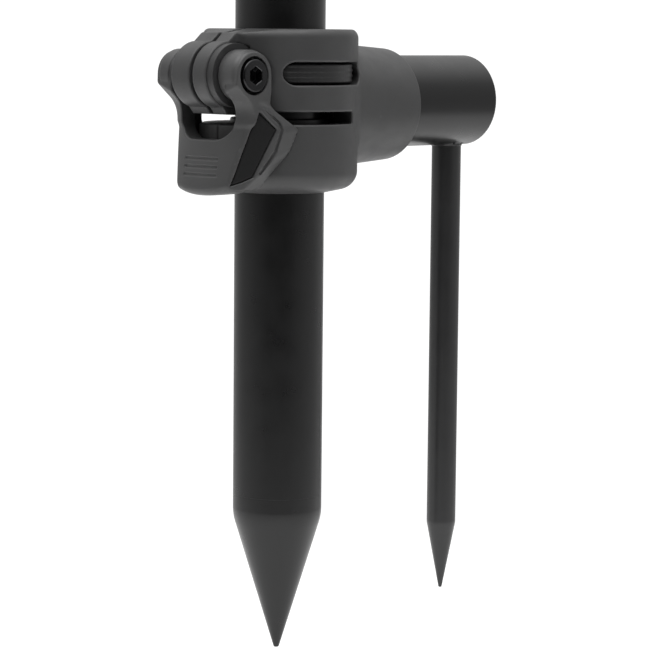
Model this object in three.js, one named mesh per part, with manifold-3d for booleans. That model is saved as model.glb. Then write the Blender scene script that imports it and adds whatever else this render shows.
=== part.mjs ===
// A short telescopic bank stick for fishing: a ground spike and outer tube with a sliding inner tube,
// a screw-in rod rest on top, and a quick-release clamp that carries a side arm and a thin second spike.
// Millimetres. The origin is the tip of the main spike, +Z runs up the stick, the side arm points to +X
// and the clamp's lever is on the -X side, turning about a bolt that lies along Y.
import * as THREE from 'three';
import { mergeVertices } from 'three/addons/utils/BufferGeometryUtils.js';
import Module from 'manifold-3d';

const wasm = await Module();
wasm.setup();

// Stick: spike, outer tube and inner tube.
const STICK_RADIUS = 8.0;
const TUBE_WALL = 1.0;
const SPIKE_LENGTH = 24.5;
const SPIKE_NOSE_RADIUS = 0.6;
const SPIKE_SHANK_TOP = 42;
const OUTER_TUBE_TOP = 196;
const INNER_RADIUS = 6.3;
const INNER_TUBE_BOTTOM = 62;
const INNER_TUBE_TOP = 217;
const FOOT_LENGTH = 12;
const FIT = 0.05;                 // radial clearance of parts pressed or glued together
const RUNNING_FIT = 0.1;          // radial clearance of parts that slide or turn
const AIR = 0.3;                  // gap between faces that move past each other

// Lock collar on top of the outer tube, with its thumbscrew on the -X side.
const LOCK_RADIUS = 12.2;
const LOCK_BOTTOM = 183;
const LOCK_TOP = 211;
const LOCK_SCREW_HEIGHT = 203.5;
const LOCK_BOSS_RADIUS = 5.8;
const LOCK_BOSS_REACH = 16;
const INSERT_RADIUS = 3.7;
const LOCK_SCREW_RADIUS = 2.4;
const KNOB_RADIUS = 7.2;
const KNOB_LENGTH = 9;
const KNOB_LOBES = 6;

// Head: threaded insert, locking ring and rod rest.
const HEAD_TOP = 225;
const HEAD_FLANGE_RADIUS = 7.4;
const HEAD_THREAD_RADIUS = 4.76;  // 3/8 inch thread
const RING_RADIUS = 9.0;
const RING_HEIGHT = 4.6;
const REST_HUB_RADIUS = 6.6;
const REST_HUB_HEIGHT = 9;
const REST_INNER_RADIUS = 12.0;
const REST_WALL = 3.6;
const REST_WIDTH = 11;
const REST_ARM_HEIGHT = 12;
const REST_FLARE = 4.0;
const REST_LINER_WALL = 1.4;
const REST_LAND_ANGLE = 10;       // half the angle of the flat land at the bottom of the rod's seat

// Clamp collar: an upper split band and a lower full ring, parted by a slot.
const COLLAR_RADIUS = 13.85;
const COLLAR_BOTTOM = 83.0;
const COLLAR_TOP = 112.0;
const COLLAR_TOP_FILLET = 1.8;
const COLLAR_FOOT_FILLET = 2.5;
const COLLAR_LIP_RADIUS = 8.2;
const SLOT_BOTTOM = 95.3;
const SLOT_TOP = 97.5;
const SLOT_END = 5.5;             // how far the slot runs past the stick's axis towards the arm
const BUSH_RADIUS = 8.85;
const LINER_RADIUS = 9.6;
const WINDOW_HEIGHT = 4.0;
const WINDOW_CENTRE = 104.3;
const WINDOW_START = -9.1;
const WINDOW_END = 9.7;
const TAB_RADIUS = 12.9;
const PAD_RADIUS = 15.0;
const PAD_HALF_WIDTH = 6.9;

// Boss and side arm.
const ARM_HEIGHT = 98.3;
const ARM_RADIUS = 8.25;
const ARM_END = 48.8;
const BOSS_HEIGHT = 98.2;
const BOSS_END_RADIUS = 10.2;
const BOSS_TAPER = 0.07;          // growth of the boss radius for each millimetre back from its end
const BOSS_END = 26.1;
const BOSS_EDGE = 0.5;
const SOCKET_FLOOR = 13.0;
const ANCHOR_SCREW_RADIUS = 2.0;
const ANCHOR_HEAD_RADIUS = 3.7;

// Stabiliser spike.
const STAB_X = 44.1;
const STAB_RADIUS = 2.78;
const STAB_TIP = 4.4;
const STAB_CONE_TOP = 17.3;
const STAB_TOP = 103;

// Lugs, bolt and lever. The -Y lug is the thinner one, and a thick cam washer fills its place.
const BOLT_X = -15.6;
const BOLT_Z = 103.8;
const LUG_NOSE_RADIUS = 5.8;
const LUG_LEFT = 5.0;
const LUG_RIGHT = 3.8;
const LUG_TOP = 111.3;
const LUG_BOTTOM = 97.0;
const LUG_SPLIT = 0.9;
const WASHER_RADIUS = 5.5;
const EYE_INNER = 5.4;
const EYE_LEFT = 10.6;            // outer face of the +Y eye
const EYE_RIGHT = 10.0;           // outer face of the -Y eye
const EYE_RADIUS = 4.4;
const EYE_RECESS_RADIUS = 3.3;
const EYE_RECESS_DEPTH = 1.9;
const EYE_POCKET_RADIUS = 5.0;
const BOLT_RADIUS = 1.5;
const BOLT_HEAD_RADIUS = 2.85;
const BOLT_HEAD_HEIGHT = 2.2;
const HEX_RADIUS = 1.7;
const PADDLE_FOOT_RADIUS = 20.1;  // the paddle's front leans out towards its foot
const PADDLE_WAIST_RADIUS = 18.0;
const PADDLE_WAIST = 98;
const PADDLE_INNER_RADIUS = 15.6;
const PADDLE_HOLLOW_HALF_WIDTH = 7.5;
const PADDLE_BOTTOM = 83.0;
const PADDLE_TOP = 98.6;
const NECK_FLARE = 6;             // how far the necks lean out between the waist and the eyes
const WING_INNER_RADIUS = 14.4;
const LEVER_WINDOW_HALF_WIDTH = 6.9;
const LEVER_WINDOW_FLOOR = 92.7;
const LEVER_WINDOW_CORNER = 4.3;
const INLAY_THICKNESS = 0.8;
const INLAY_SCALE = 0.96;         // size of the inlay against its pocket

// Corners of the lever's +Y wing, as [x, y, z]. The -Y wing is its mirror image.
const RIDGE_TOP = [-15.55, 9.35, 97.0];
const RIDGE_FOOT = [-18.54, 6.65, 85.3];
const SEAM_TOP = [-13.87, 10.42, 98.27];
const SEAM_CORNER = [-10.73, 11.9, 94.57];
const SEAM_FOOT = [-13.64, 9.60, 87.03];
const WING_EDGE = [-8.9, 11.3, 90.4];
const WING_TIP = [-7.7, 12.2, 94.9];
const WING_BACK = [-12.3, 10.9, 98.4];

const DEGREE = Math.PI / 180;
const ROUND_STEPS = 32;
const SMALL_STEPS = 16;

const materials = {
  tube: new THREE.MeshStandardMaterial({ color: 0x222223, roughness: 0.45, metalness: 0.6 }),
  collar: new THREE.MeshStandardMaterial({ color: 0x3b3b3c, roughness: 0.6, metalness: 0.0 }),
  lever: new THREE.MeshStandardMaterial({ color: 0x484849, roughness: 0.55, metalness: 0.0 }),
  inlay: new THREE.MeshStandardMaterial({ color: 0x202021, roughness: 0.8, metalness: 0.0 }),
  liner: new THREE.MeshStandardMaterial({ color: 0x2a2a2b, roughness: 0.35, metalness: 0.0 }),
  steel: new THREE.MeshStandardMaterial({ color: 0x2b2b2c, roughness: 0.3, metalness: 0.9 }),
  brass: new THREE.MeshStandardMaterial({ color: 0xb08a45, roughness: 0.35, metalness: 0.9 }),
  rubber: new THREE.MeshStandardMaterial({ color: 0x1b1b1b, roughness: 0.9, metalness: 0.0 }),
};

const stick = new THREE.Group();
stick.name = 'bank_stick';

// A closed solid from a three.js geometry, with shared vertices merged and faces pointing out.
function solid(geometry) {
  const bare = geometry.index ? geometry.toNonIndexed() : geometry.clone();
  bare.deleteAttribute('normal');
  bare.deleteAttribute('uv');
  const merged = mergeVertices(bare, 1e-4);
  const points = merged.getAttribute('position').array;
  const triangles = [];
  let volume = 0;
  for (let i = 0; i < merged.index.count; i += 3) {
    const [a, b, c] = merged.index.array.slice(i, i + 3);
    if (a === b || b === c || c === a) {
      continue;
    }
    triangles.push(a, b, c);
    const [p, q, r] = [a, b, c].map((n) => new THREE.Vector3().fromArray(points, 3 * n));
    volume += p.dot(q.cross(r));
  }
  const triVerts = new Uint32Array(volume < 0 ? triangles.reverse() : triangles);
  return new wasm.Manifold(new wasm.Mesh({ numProp: 3, vertProperties: points, triVerts }));
}

// Adds a named mesh made from a solid to the stick.
function addPiece(name, shape, material) {
  const { vertProperties, triVerts } = shape.getMesh();
  const geometry = new THREE.BufferGeometry();
  geometry.setAttribute('position', new THREE.BufferAttribute(vertProperties, 3));
  geometry.setIndex(new THREE.BufferAttribute(triVerts, 1));
  geometry.computeVertexNormals();
  const mesh = new THREE.Mesh(geometry, materials[material].clone());
  mesh.name = name;
  stick.add(mesh);
}

// Turns a shape made about Z so that its axis lies along +X or +Y, then moves it.
function place(geometry, axis, x = 0, y = 0, z = 0) {
  if (axis === 'x') {
    geometry.rotateY(Math.PI / 2);
  }
  if (axis === 'y') {
    geometry.rotateX(-Math.PI / 2);
  }
  return geometry.translate(x, y, z);
}

// A turned solid about Z from [radius, height] points that close on themselves or on the axis.
function turned(profile, steps = ROUND_STEPS) {
  const points = profile.map(([radius, height]) => new THREE.Vector2(radius, height));
  const onAxis = profile[0][0] === 0 && profile.at(-1)[0] === 0;
  if (!onAxis) {
    points.push(points[0].clone());
  }
  return new THREE.LatheGeometry(points, steps).rotateX(Math.PI / 2);
}

function rod(radius, bottom, top, steps = ROUND_STEPS) {
  return turned([[0, bottom], [radius, bottom], [radius, top], [0, top]], steps);
}

function tube(outer, inner, bottom, top, steps = ROUND_STEPS) {
  return turned([[inner, bottom], [outer, bottom], [outer, top], [inner, top]], steps);
}

// Points of an arc in a plane, from one angle to another in degrees.
function arc(centreU, centreV, radius, from, to, steps) {
  const points = [];
  for (let i = 0; i <= steps; i += 1) {
    const angle = (from + ((to - from) * i) / steps) * DEGREE;
    points.push([centreU + radius * Math.cos(angle), centreV + radius * Math.sin(angle)]);
  }
  return points;
}

// A prism: an outline in a plane, swept along the third axis from start to end.
function prism(outline, axis, start, end) {
  const shape = new THREE.Shape(outline.map(([u, v]) => new THREE.Vector2(u, v)));
  const geometry = new THREE.ExtrudeGeometry(shape, { depth: end - start, bevelEnabled: false });
  geometry.translate(0, 0, start);
  if (axis === 'y') {
    geometry.rotateX(Math.PI / 2).scale(1, -1, 1);
  }
  if (axis === 'x') {
    geometry.applyMatrix4(new THREE.Matrix4().set(0, 0, 1, 0, 1, 0, 0, 0, 0, 1, 0, 0, 0, 0, 0, 1));
  }
  return solid(geometry);
}

function block(x0, x1, y0, y1, z0, z1) {
  const geometry = new THREE.BoxGeometry(x1 - x0, y1 - y0, z1 - z0);
  return solid(geometry.translate((x0 + x1) / 2, (y0 + y1) / 2, (z0 + z1) / 2));
}

// An outline with round ends, in the XZ plane.
function obround(x0, x1, centre, halfHeight) {
  return [
    ...arc(x1 - halfHeight, centre, halfHeight, -90, 90, 8),
    ...arc(x0 + halfHeight, centre, halfHeight, 90, 270, 8),
  ];
}

// Main stick.

function groundSpike() {
  const shank = STICK_RADIUS - TUBE_WALL - FIT;
  const slope = STICK_RADIUS / SPIKE_LENGTH;
  const noseAngle = Math.atan(slope) / DEGREE;
  const nose = arc(0, SPIKE_NOSE_RADIUS, SPIKE_NOSE_RADIUS, -90, -noseAngle, 3);
  nose[0] = [0, 0];
  return solid(turned([
    ...nose,
    [STICK_RADIUS, SPIKE_LENGTH],
    [shank, SPIKE_LENGTH],
    [shank, SPIKE_SHANK_TOP],
    [0, SPIKE_SHANK_TOP],
  ]));
}

function outerTube() {
  const bottom = SPIKE_LENGTH + FIT;
  return solid(tube(STICK_RADIUS, STICK_RADIUS - TUBE_WALL, bottom, OUTER_TUBE_TOP));
}

function tubeTopBush() {
  const outer = STICK_RADIUS - TUBE_WALL - FIT;
  return solid(tube(outer, INNER_RADIUS + RUNNING_FIT, OUTER_TUBE_TOP - 11, OUTER_TUBE_TOP - FIT));
}

function lockCollar() {
  const body = solid(turned([
    [STICK_RADIUS + FIT, LOCK_BOTTOM],
    [LOCK_RADIUS - 2, LOCK_BOTTOM],
    ...arc(LOCK_RADIUS - 1.5, LOCK_BOTTOM + 2, 1.5, -60, 0, 3),
    ...arc(LOCK_RADIUS - 1.8, LOCK_TOP - 1.8, 1.8, 0, 90, 4),
    [INNER_RADIUS + RUNNING_FIT, LOCK_TOP],
    [INNER_RADIUS + RUNNING_FIT, OUTER_TUBE_TOP + FIT],
    [STICK_RADIUS + FIT, OUTER_TUBE_TOP + FIT],
  ]));
  const bossRod = rod(LOCK_BOSS_RADIUS, -LOCK_BOSS_REACH, -INNER_RADIUS - 1, SMALL_STEPS);
  const boss = solid(place(bossRod, 'x', 0, 0, LOCK_SCREW_HEIGHT));
  const holeRod = rod(INSERT_RADIUS + FIT, -LOCK_BOSS_REACH - 1, -7.9, SMALL_STEPS);
  const hole = solid(place(holeRod, 'x', 0, 0, LOCK_SCREW_HEIGHT));
  const wayIn = solid(place(rod(LOCK_SCREW_RADIUS + AIR, -9, 0, SMALL_STEPS), 'x', 0, 0, LOCK_SCREW_HEIGHT));
  return body.add(boss).subtract(hole).subtract(wayIn);
}

function lockInsert() {
  const mouth = -LOCK_BOSS_REACH - 0.6;
  const sleeve = tube(INSERT_RADIUS, LOCK_SCREW_RADIUS + RUNNING_FIT, mouth, -8, SMALL_STEPS);
  return solid(place(sleeve, 'x', 0, 0, LOCK_SCREW_HEIGHT));
}

const knobFace = -LOCK_BOSS_REACH - 1.4;
const stemStart = knobFace - KNOB_LENGTH + 2.4;

function thumbscrewStem() {
  const stem = rod(LOCK_SCREW_RADIUS, stemStart, -INNER_RADIUS - FIT, SMALL_STEPS);
  return solid(place(stem, 'x', 0, 0, LOCK_SCREW_HEIGHT));
}

function thumbscrewKnob() {
  const outline = [];
  const steps = KNOB_LOBES * 6;
  for (let i = 0; i < steps; i += 1) {
    const angle = (i / steps) * 2 * Math.PI;
    const radius = KNOB_RADIUS - 0.6 + 0.6 * Math.cos(KNOB_LOBES * angle);
    outline.push([radius * Math.cos(angle), LOCK_SCREW_HEIGHT + radius * Math.sin(angle)]);
  }
  const head = prism(outline, 'x', knobFace - KNOB_LENGTH, knobFace);
  const stemHole = rod(LOCK_SCREW_RADIUS + FIT, stemStart - FIT, knobFace + 1, SMALL_STEPS);
  return head.subtract(solid(place(stemHole, 'x', 0, 0, LOCK_SCREW_HEIGHT)));
}

// Inner tube and head.

function innerTube() {
  return solid(tube(INNER_RADIUS, INNER_RADIUS - TUBE_WALL, INNER_TUBE_BOTTOM, INNER_TUBE_TOP));
}

function innerTubeFoot() {
  const spigot = INNER_RADIUS - TUBE_WALL - FIT;
  const skirt = STICK_RADIUS - TUBE_WALL - RUNNING_FIT;
  const skirtTop = INNER_TUBE_BOTTOM - FIT;
  const bottom = INNER_TUBE_BOTTOM - FOOT_LENGTH;
  return solid(turned([
    [0, bottom],
    [skirt - 1, bottom],
    [skirt, bottom + 1],
    [skirt, skirtTop],
    [spigot, skirtTop],
    [spigot, INNER_TUBE_BOTTOM + FOOT_LENGTH],
    [0, INNER_TUBE_BOTTOM + FOOT_LENGTH],
  ]));
}

function headInsert() {
  const shank = INNER_RADIUS - TUBE_WALL - FIT;
  const flangeBottom = INNER_TUBE_TOP + FIT;
  const shankBottom = INNER_TUBE_TOP - 12;
  const hole = HEAD_THREAD_RADIUS + RUNNING_FIT;
  return solid(turned([
    [hole, shankBottom],
    [shank, shankBottom],
    [shank, flangeBottom],
    [HEAD_FLANGE_RADIUS, flangeBottom],
    [HEAD_FLANGE_RADIUS, HEAD_TOP - 0.8],
    [HEAD_FLANGE_RADIUS - 0.8, HEAD_TOP],
    [hole, HEAD_TOP],
  ]));
}

const ringBottom = HEAD_TOP + AIR;
const ringTop = ringBottom + RING_HEIGHT;
const hubBottom = ringTop + AIR;
const hubTop = hubBottom + REST_HUB_HEIGHT;
const cradleCentre = hubTop + REST_INNER_RADIUS + REST_WALL - 1.5;

function lockRing() {
  const hole = HEAD_THREAD_RADIUS + RUNNING_FIT;
  return solid(turned([
    [hole, ringBottom],
    [RING_RADIUS - 0.7, ringBottom],
    [RING_RADIUS, ringBottom + 0.7],
    [RING_RADIUS, ringTop - 0.7],
    [RING_RADIUS - 0.7, ringTop],
    [hole, ringTop],
  ]));
}

function restStud() {
  return solid(rod(HEAD_THREAD_RADIUS, INNER_TUBE_TOP - 9, hubTop - 2.5));
}

// The cradle's inner line in the XZ plane at a distance outside the rod's seat, from one tip to the other.
function cradleLine(offset) {
  const radius = REST_INNER_RADIUS + offset;
  const top = cradleCentre + REST_ARM_HEIGHT;
  const flare = REST_FLARE + radius;
  return [
    [flare, top],
    ...arc(0, cradleCentre, radius, 0, -180, 24),
    [-flare, top],
  ];
}

function rodRest() {
  const outside = cradleLine(REST_WALL);
  const inside = cradleLine(0).reverse();
  const cradle = prism([...outside, ...inside], 'y', -REST_WIDTH / 2, REST_WIDTH / 2);
  const hub = solid(turned([
    [0, hubBottom],
    [REST_HUB_RADIUS, hubBottom],
    [REST_HUB_RADIUS, hubTop - 2],
    [REST_HUB_RADIUS - 1.1, hubTop + 1],
    [0, hubTop + 1],
  ]));
  const studHole = solid(rod(HEAD_THREAD_RADIUS + FIT, hubBottom - 1, hubTop - 2.4));
  return cradle.add(hub).subtract(studHole);
}

function restLiner() {
  const outside = arc(0, cradleCentre, REST_INNER_RADIUS - FIT, 0, -180, 24);
  const radius = REST_INNER_RADIUS - REST_LINER_WALL;
  const left = arc(0, cradleCentre, radius, -180, -90 - REST_LAND_ANGLE, 11);
  const right = arc(0, cradleCentre, radius, -90 + REST_LAND_ANGLE, 0, 11);
  return prism([...outside, ...left, ...right], 'y', -REST_WIDTH / 2 + 0.6, REST_WIDTH / 2 - 0.6);
}

// Clamp collar.

// A cylinder about the lever bolt, between two places along Y.
function boltRod(radius, from, to) {
  return solid(place(rod(radius, from, to, SMALL_STEPS), 'y', BOLT_X, 0, BOLT_Z));
}

// The same cylinder on both sides of the XZ plane.
function boltRods(radius, near, far) {
  return boltRod(radius, near, far).add(boltRod(radius, -far, -near));
}

function lugOutline() {
  return [
    [-9.5, LUG_BOTTOM],
    [-9.5, LUG_TOP],
    [-14.1, LUG_TOP],
    ...arc(BOLT_X, BOLT_Z, LUG_NOSE_RADIUS, 94, 253, 16),
    [BOLT_X - 0.8, LUG_BOTTOM],
  ];
}

function collarBody() {
  const footRadius = COLLAR_RADIUS - COLLAR_FOOT_FILLET;
  const footHeight = COLLAR_BOTTOM + 0.7 + COLLAR_FOOT_FILLET;
  const topRadius = COLLAR_RADIUS - COLLAR_TOP_FILLET;
  const outside = [
    [0, COLLAR_BOTTOM],
    [COLLAR_LIP_RADIUS, COLLAR_BOTTOM],
    ...arc(footRadius, footHeight, COLLAR_FOOT_FILLET, -90, 0, 4),
    ...arc(topRadius, COLLAR_TOP - COLLAR_TOP_FILLET, COLLAR_TOP_FILLET, 0, 90, 4),
    [0, COLLAR_TOP],
  ];
  const boss = turned([
    [0, 8],
    [BOSS_END_RADIUS + BOSS_TAPER * (BOSS_END - 8), 8],
    [BOSS_END_RADIUS, BOSS_END - BOSS_EDGE],
    [BOSS_END_RADIUS - BOSS_EDGE, BOSS_END],
    [0, BOSS_END],
  ]);
  const lugs = prism(lugOutline(), 'y', -LUG_RIGHT, LUG_LEFT);
  const pad = solid(rod(PAD_RADIUS, COLLAR_BOTTOM + 3, SLOT_BOTTOM));
  const padFront = pad.intersect(block(-20, -9, -PAD_HALF_WIDTH, PAD_HALF_WIDTH, 80, 100));
  return solid(turned(outside))
    .add(solid(place(boss, 'x', 0, 0, BOSS_HEIGHT)))
    .subtract(block(-30, SLOT_END, -30, 30, SLOT_BOTTOM, SLOT_TOP))
    .add(lugs)
    .add(padFront);
}

function clampCollar() {
  const split = block(-30, 0, -LUG_SPLIT / 2, LUG_SPLIT / 2, LUG_BOTTOM - 0.5, COLLAR_TOP + 1);
  const window = prism(obround(WINDOW_START, WINDOW_END, WINDOW_CENTRE, WINDOW_HEIGHT / 2), 'y', 2, 20);
  const linerBore = solid(rod(LINER_RADIUS + FIT, SLOT_BOTTOM - 0.1, COLLAR_TOP - 0.8));
  const bushBore = solid(rod(BUSH_RADIUS + RUNNING_FIT, COLLAR_BOTTOM + 1, SLOT_BOTTOM));
  const throughBore = solid(rod(COLLAR_LIP_RADIUS, COLLAR_BOTTOM - 1, COLLAR_TOP + 1));
  const socket = solid(place(rod(ARM_RADIUS + FIT, SOCKET_FLOOR, BOSS_END + 1), 'x', 0, 0, ARM_HEIGHT));
  const screwHole = rod(ANCHOR_SCREW_RADIUS + FIT, 5, SOCKET_FLOOR + 1, SMALL_STEPS);
  const headSeat = rod(ANCHOR_HEAD_RADIUS + FIT, 5, SOCKET_FLOOR - 1.2, SMALL_STEPS);
  return collarBody()
    .subtract(split)
    .subtract(window)
    .subtract(window.mirror([0, 1, 0]))
    .subtract(boltRods(EYE_POCKET_RADIUS, EYE_INNER - FIT, EYE_LEFT + 4))
    .subtract(boltRod(WASHER_RADIUS + AIR, LUG_LEFT, EYE_INNER))
    .subtract(boltRod(WASHER_RADIUS + AIR, -EYE_INNER, -LUG_RIGHT))
    .subtract(boltRods(BOLT_RADIUS + RUNNING_FIT, 0, EYE_INNER))
    .subtract(linerBore)
    .subtract(bushBore)
    .subtract(throughBore)
    .subtract(socket)
    .subtract(solid(place(screwHole, 'x', 0, 0, ARM_HEIGHT)))
    .subtract(solid(place(headSeat, 'x', 0, 0, ARM_HEIGHT)));
}

function gripLiner() {
  const bottom = SLOT_TOP + 0.4;
  const top = COLLAR_TOP - 0.9;
  const sleeve = solid(tube(LINER_RADIUS, STICK_RADIUS + RUNNING_FIT, bottom, top));
  const tabOutline = obround(WINDOW_START + AIR, WINDOW_END - AIR, WINDOW_CENTRE, WINDOW_HEIGHT / 2 - AIR);
  const shell = solid(tube(TAB_RADIUS, LINER_RADIUS - 0.2, bottom, top));
  const tab = prism(tabOutline, 'y', 2, 20).intersect(shell);
  const gap = block(-20, 0, -LUG_SPLIT, LUG_SPLIT, bottom - 1, top + 1);
  const headClearance = rod(ANCHOR_HEAD_RADIUS + AIR, 5, LINER_RADIUS + 2, SMALL_STEPS);
  return sleeve
    .add(tab)
    .add(tab.mirror([0, 1, 0]))
    .subtract(gap)
    .subtract(solid(place(headClearance, 'x', 0, 0, ARM_HEIGHT)));
}

function guideBush() {
  return solid(tube(BUSH_RADIUS, STICK_RADIUS + RUNNING_FIT, COLLAR_BOTTOM + 1 + AIR, SLOT_BOTTOM + 0.9));
}

// Side arm and stabiliser spike.

const armBore = ARM_RADIUS - TUBE_WALL;
const armStart = SOCKET_FLOOR + 0.2;
const stabHole = new THREE.CylinderGeometry(
  STAB_RADIUS + FIT, STAB_RADIUS + FIT, STAB_TOP + AIR - 80, SMALL_STEPS,
).rotateX(Math.PI / 2).translate(STAB_X, 0, (STAB_TOP + AIR + 80) / 2);

function sideArm() {
  const wall = solid(place(tube(ARM_RADIUS, armBore, armStart, ARM_END), 'x', 0, 0, ARM_HEIGHT));
  return wall.subtract(solid(stabHole));
}

function armEndPlug() {
  const plug = rod(armBore - FIT, ARM_END - 13, ARM_END - 0.4);
  return solid(place(plug, 'x', 0, 0, ARM_HEIGHT)).subtract(solid(stabHole));
}

function armInnerPlug() {
  const plug = tube(armBore - FIT, ANCHOR_SCREW_RADIUS + FIT, armStart, armStart + 12);
  return solid(place(plug, 'x', 0, 0, ARM_HEIGHT));
}

function anchorScrew() {
  const headEnd = SOCKET_FLOOR - 1.2 - FIT;
  const headStart = LINER_RADIUS + 0.1;
  const screw = turned([
    [0, headStart + 1],
    [1.2, headStart + 1],
    [1.2, headStart],
    [ANCHOR_HEAD_RADIUS, headStart],
    [ANCHOR_HEAD_RADIUS, headEnd],
    [ANCHOR_SCREW_RADIUS, headEnd],
    [ANCHOR_SCREW_RADIUS, armStart + 11],
    [0, armStart + 11],
  ], SMALL_STEPS);
  return solid(place(screw, 'x', 0, 0, ARM_HEIGHT));
}

function stabiliserSpike() {
  const shape = turned([
    [0, STAB_TIP],
    [0.35, STAB_TIP + 0.25],
    [STAB_RADIUS, STAB_CONE_TOP],
    [STAB_RADIUS, STAB_TOP],
    [0, STAB_TOP],
  ], SMALL_STEPS);
  return solid(shape.translate(STAB_X, 0, 0));
}

// Lever: two eyes on the bolt, two arms and a curved paddle with wings that lie against the lower ring.

// A large block whose face lies on the plane through three points, moved outward by a shift.
function beyondPlane(a, b, c, shift = 0) {
  const reach = 60;
  const origin = new THREE.Vector3(...a);
  const first = new THREE.Vector3(...b).sub(origin);
  const second = new THREE.Vector3(...c).sub(origin);
  const normal = first.cross(second).normalize();
  if (normal.y < 0) {
    normal.negate();
  }
  const geometry = new THREE.BoxGeometry(2 * reach, 2 * reach, reach);
  const turn = new THREE.Quaternion().setFromUnitVectors(new THREE.Vector3(0, 0, 1), normal);
  geometry.applyQuaternion(turn);
  const centre = origin.addScaledVector(normal, reach / 2 + shift);
  return solid(geometry.translate(centre.x, centre.y, centre.z));
}

// A shape together with its mirror image in the XZ plane.
function bothSides(shape) {
  return shape.add(shape.mirror([0, 1, 0]));
}

// The wing seen from the side, in the XZ plane: the top edge slopes to the wing's point,
// and the lower edge sweeps down and forward to the paddle's foot.
const wingSide = [
  [-25, PADDLE_TOP],
  [WING_BACK[0], WING_BACK[2]],
  [WING_TIP[0], WING_TIP[2]],
  [-8.4, 92.8],
  [-9.0, 90.4],
  [-10.3, 87.4],
  [-12.0, 85.0],
  [-14.0, 84.2],
  [-16.5, 83.4],
  [-18.0, PADDLE_BOTTOM],
  [-25, PADDLE_BOTTOM],
];

// The outline of the inlay's pocket seen from the side, and the point the inlay is scaled about.
const pocketSide = [
  [-14.72, 97.7],
  [-14.27, 97.49],
  [-11.5, 94.58],
  [-14.7, 86.34],
  [-16.31, 85.48],
  [-18.0, 84.9],
];
const pocketCentre = [-14.6, 91.2];

function leverWindow() {
  const side = LEVER_WINDOW_HALF_WIDTH;
  const corner = LEVER_WINDOW_CORNER;
  const cornerHeight = LEVER_WINDOW_FLOOR + corner;
  return prism([
    [side, PADDLE_TOP + 3],
    ...arc(side - corner, cornerHeight, corner, 0, -90, 6),
    ...arc(corner - side, cornerHeight, corner, -90, -180, 6),
    [-side, PADDLE_TOP + 3],
  ], 'x', -25, -10);
}

// The lever's front as a turned solid: it narrows from the foot up to the waist and flares out to the eyes.
function leverFront() {
  return solid(turned([
    [0, PADDLE_BOTTOM - 1],
    [PADDLE_FOOT_RADIUS, PADDLE_BOTTOM - 1],
    [PADDLE_WAIST_RADIUS, PADDLE_WAIST],
    [PADDLE_WAIST_RADIUS + NECK_FLARE, PADDLE_WAIST + NECK_FLARE],
    [PADDLE_WAIST_RADIUS + NECK_FLARE, COLLAR_TOP],
    [0, COLLAR_TOP],
  ], 64));
}

function leverPaddle() {
  const room = solid(rod(WING_INNER_RADIUS, PADDLE_BOTTOM - 2, COLLAR_TOP + 1, 64));
  const ring = leverFront().subtract(room);
  const hollowRod = solid(rod(PADDLE_INNER_RADIUS, PADDLE_BOTTOM - 2, PADDLE_TOP + 2, 64));
  const half = PADDLE_HOLLOW_HALF_WIDTH;
  const hollow = hollowRod.intersect(block(-20, -5, -half, half, PADDLE_BOTTOM - 2, PADDLE_TOP + 2));
  const outside = beyondPlane(RIDGE_TOP, RIDGE_FOOT, SEAM_CORNER)
    .add(beyondPlane(SEAM_CORNER, SEAM_FOOT, WING_EDGE))
    .add(beyondPlane(SEAM_TOP, SEAM_CORNER, WING_TIP));
  return ring
    .intersect(prism(wingSide, 'y', -20, 20))
    .subtract(bothSides(outside))
    .subtract(hollow)
    .subtract(leverWindow());
}

function leverArm(outer) {
  const neckOutline = [
    [-20, PADDLE_TOP - 1.2],
    [-11.5, PADDLE_TOP - 1.2],
    [-11.2, BOLT_Z],
    ...arc(BOLT_X, BOLT_Z, EYE_RADIUS, 0, 180, 14),
  ];
  const neck = prism(neckOutline, 'y', LEVER_WINDOW_HALF_WIDTH, outer).intersect(leverFront());
  const room = solid(rod(WING_INNER_RADIUS, PADDLE_BOTTOM, COLLAR_TOP + 1, 64));
  const eye = rod(EYE_RADIUS, EYE_INNER, outer, 32);
  return neck.subtract(room).add(solid(place(eye, 'y', BOLT_X, 0, BOLT_Z)));
}

// A slice below the wing's face with the pocket's outline at a scale: the pocket, or the inlay in it.
function inlaySlice(scale, top, bottom) {
  const [centreX, centreZ] = pocketCentre;
  const outline = pocketSide.map(([x, z]) => [
    centreX + scale * (x - centreX),
    centreZ + scale * (z - centreZ),
  ]);
  return prism(outline, 'y', 5, 20)
    .intersect(beyondPlane(RIDGE_TOP, RIDGE_FOOT, SEAM_CORNER, -bottom))
    .subtract(beyondPlane(RIDGE_TOP, RIDGE_FOOT, SEAM_CORNER, -top));
}

function camLever() {
  return leverPaddle()
    .add(leverArm(EYE_LEFT))
    .add(leverArm(EYE_RIGHT).mirror([0, 1, 0]))
    .subtract(bothSides(inlaySlice(1, -2, INLAY_THICKNESS + FIT)))
    .subtract(boltRods(BOLT_RADIUS + RUNNING_FIT, EYE_INNER - 1, EYE_LEFT + 1))
    .subtract(boltRod(EYE_RECESS_RADIUS, EYE_LEFT - EYE_RECESS_DEPTH, EYE_LEFT + 1))
    .subtract(boltRod(EYE_RECESS_RADIUS, -EYE_RIGHT - 1, EYE_RECESS_DEPTH - EYE_RIGHT));
}

function leverInlay() {
  return inlaySlice(INLAY_SCALE, RUNNING_FIT, INLAY_THICKNESS);
}

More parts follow.
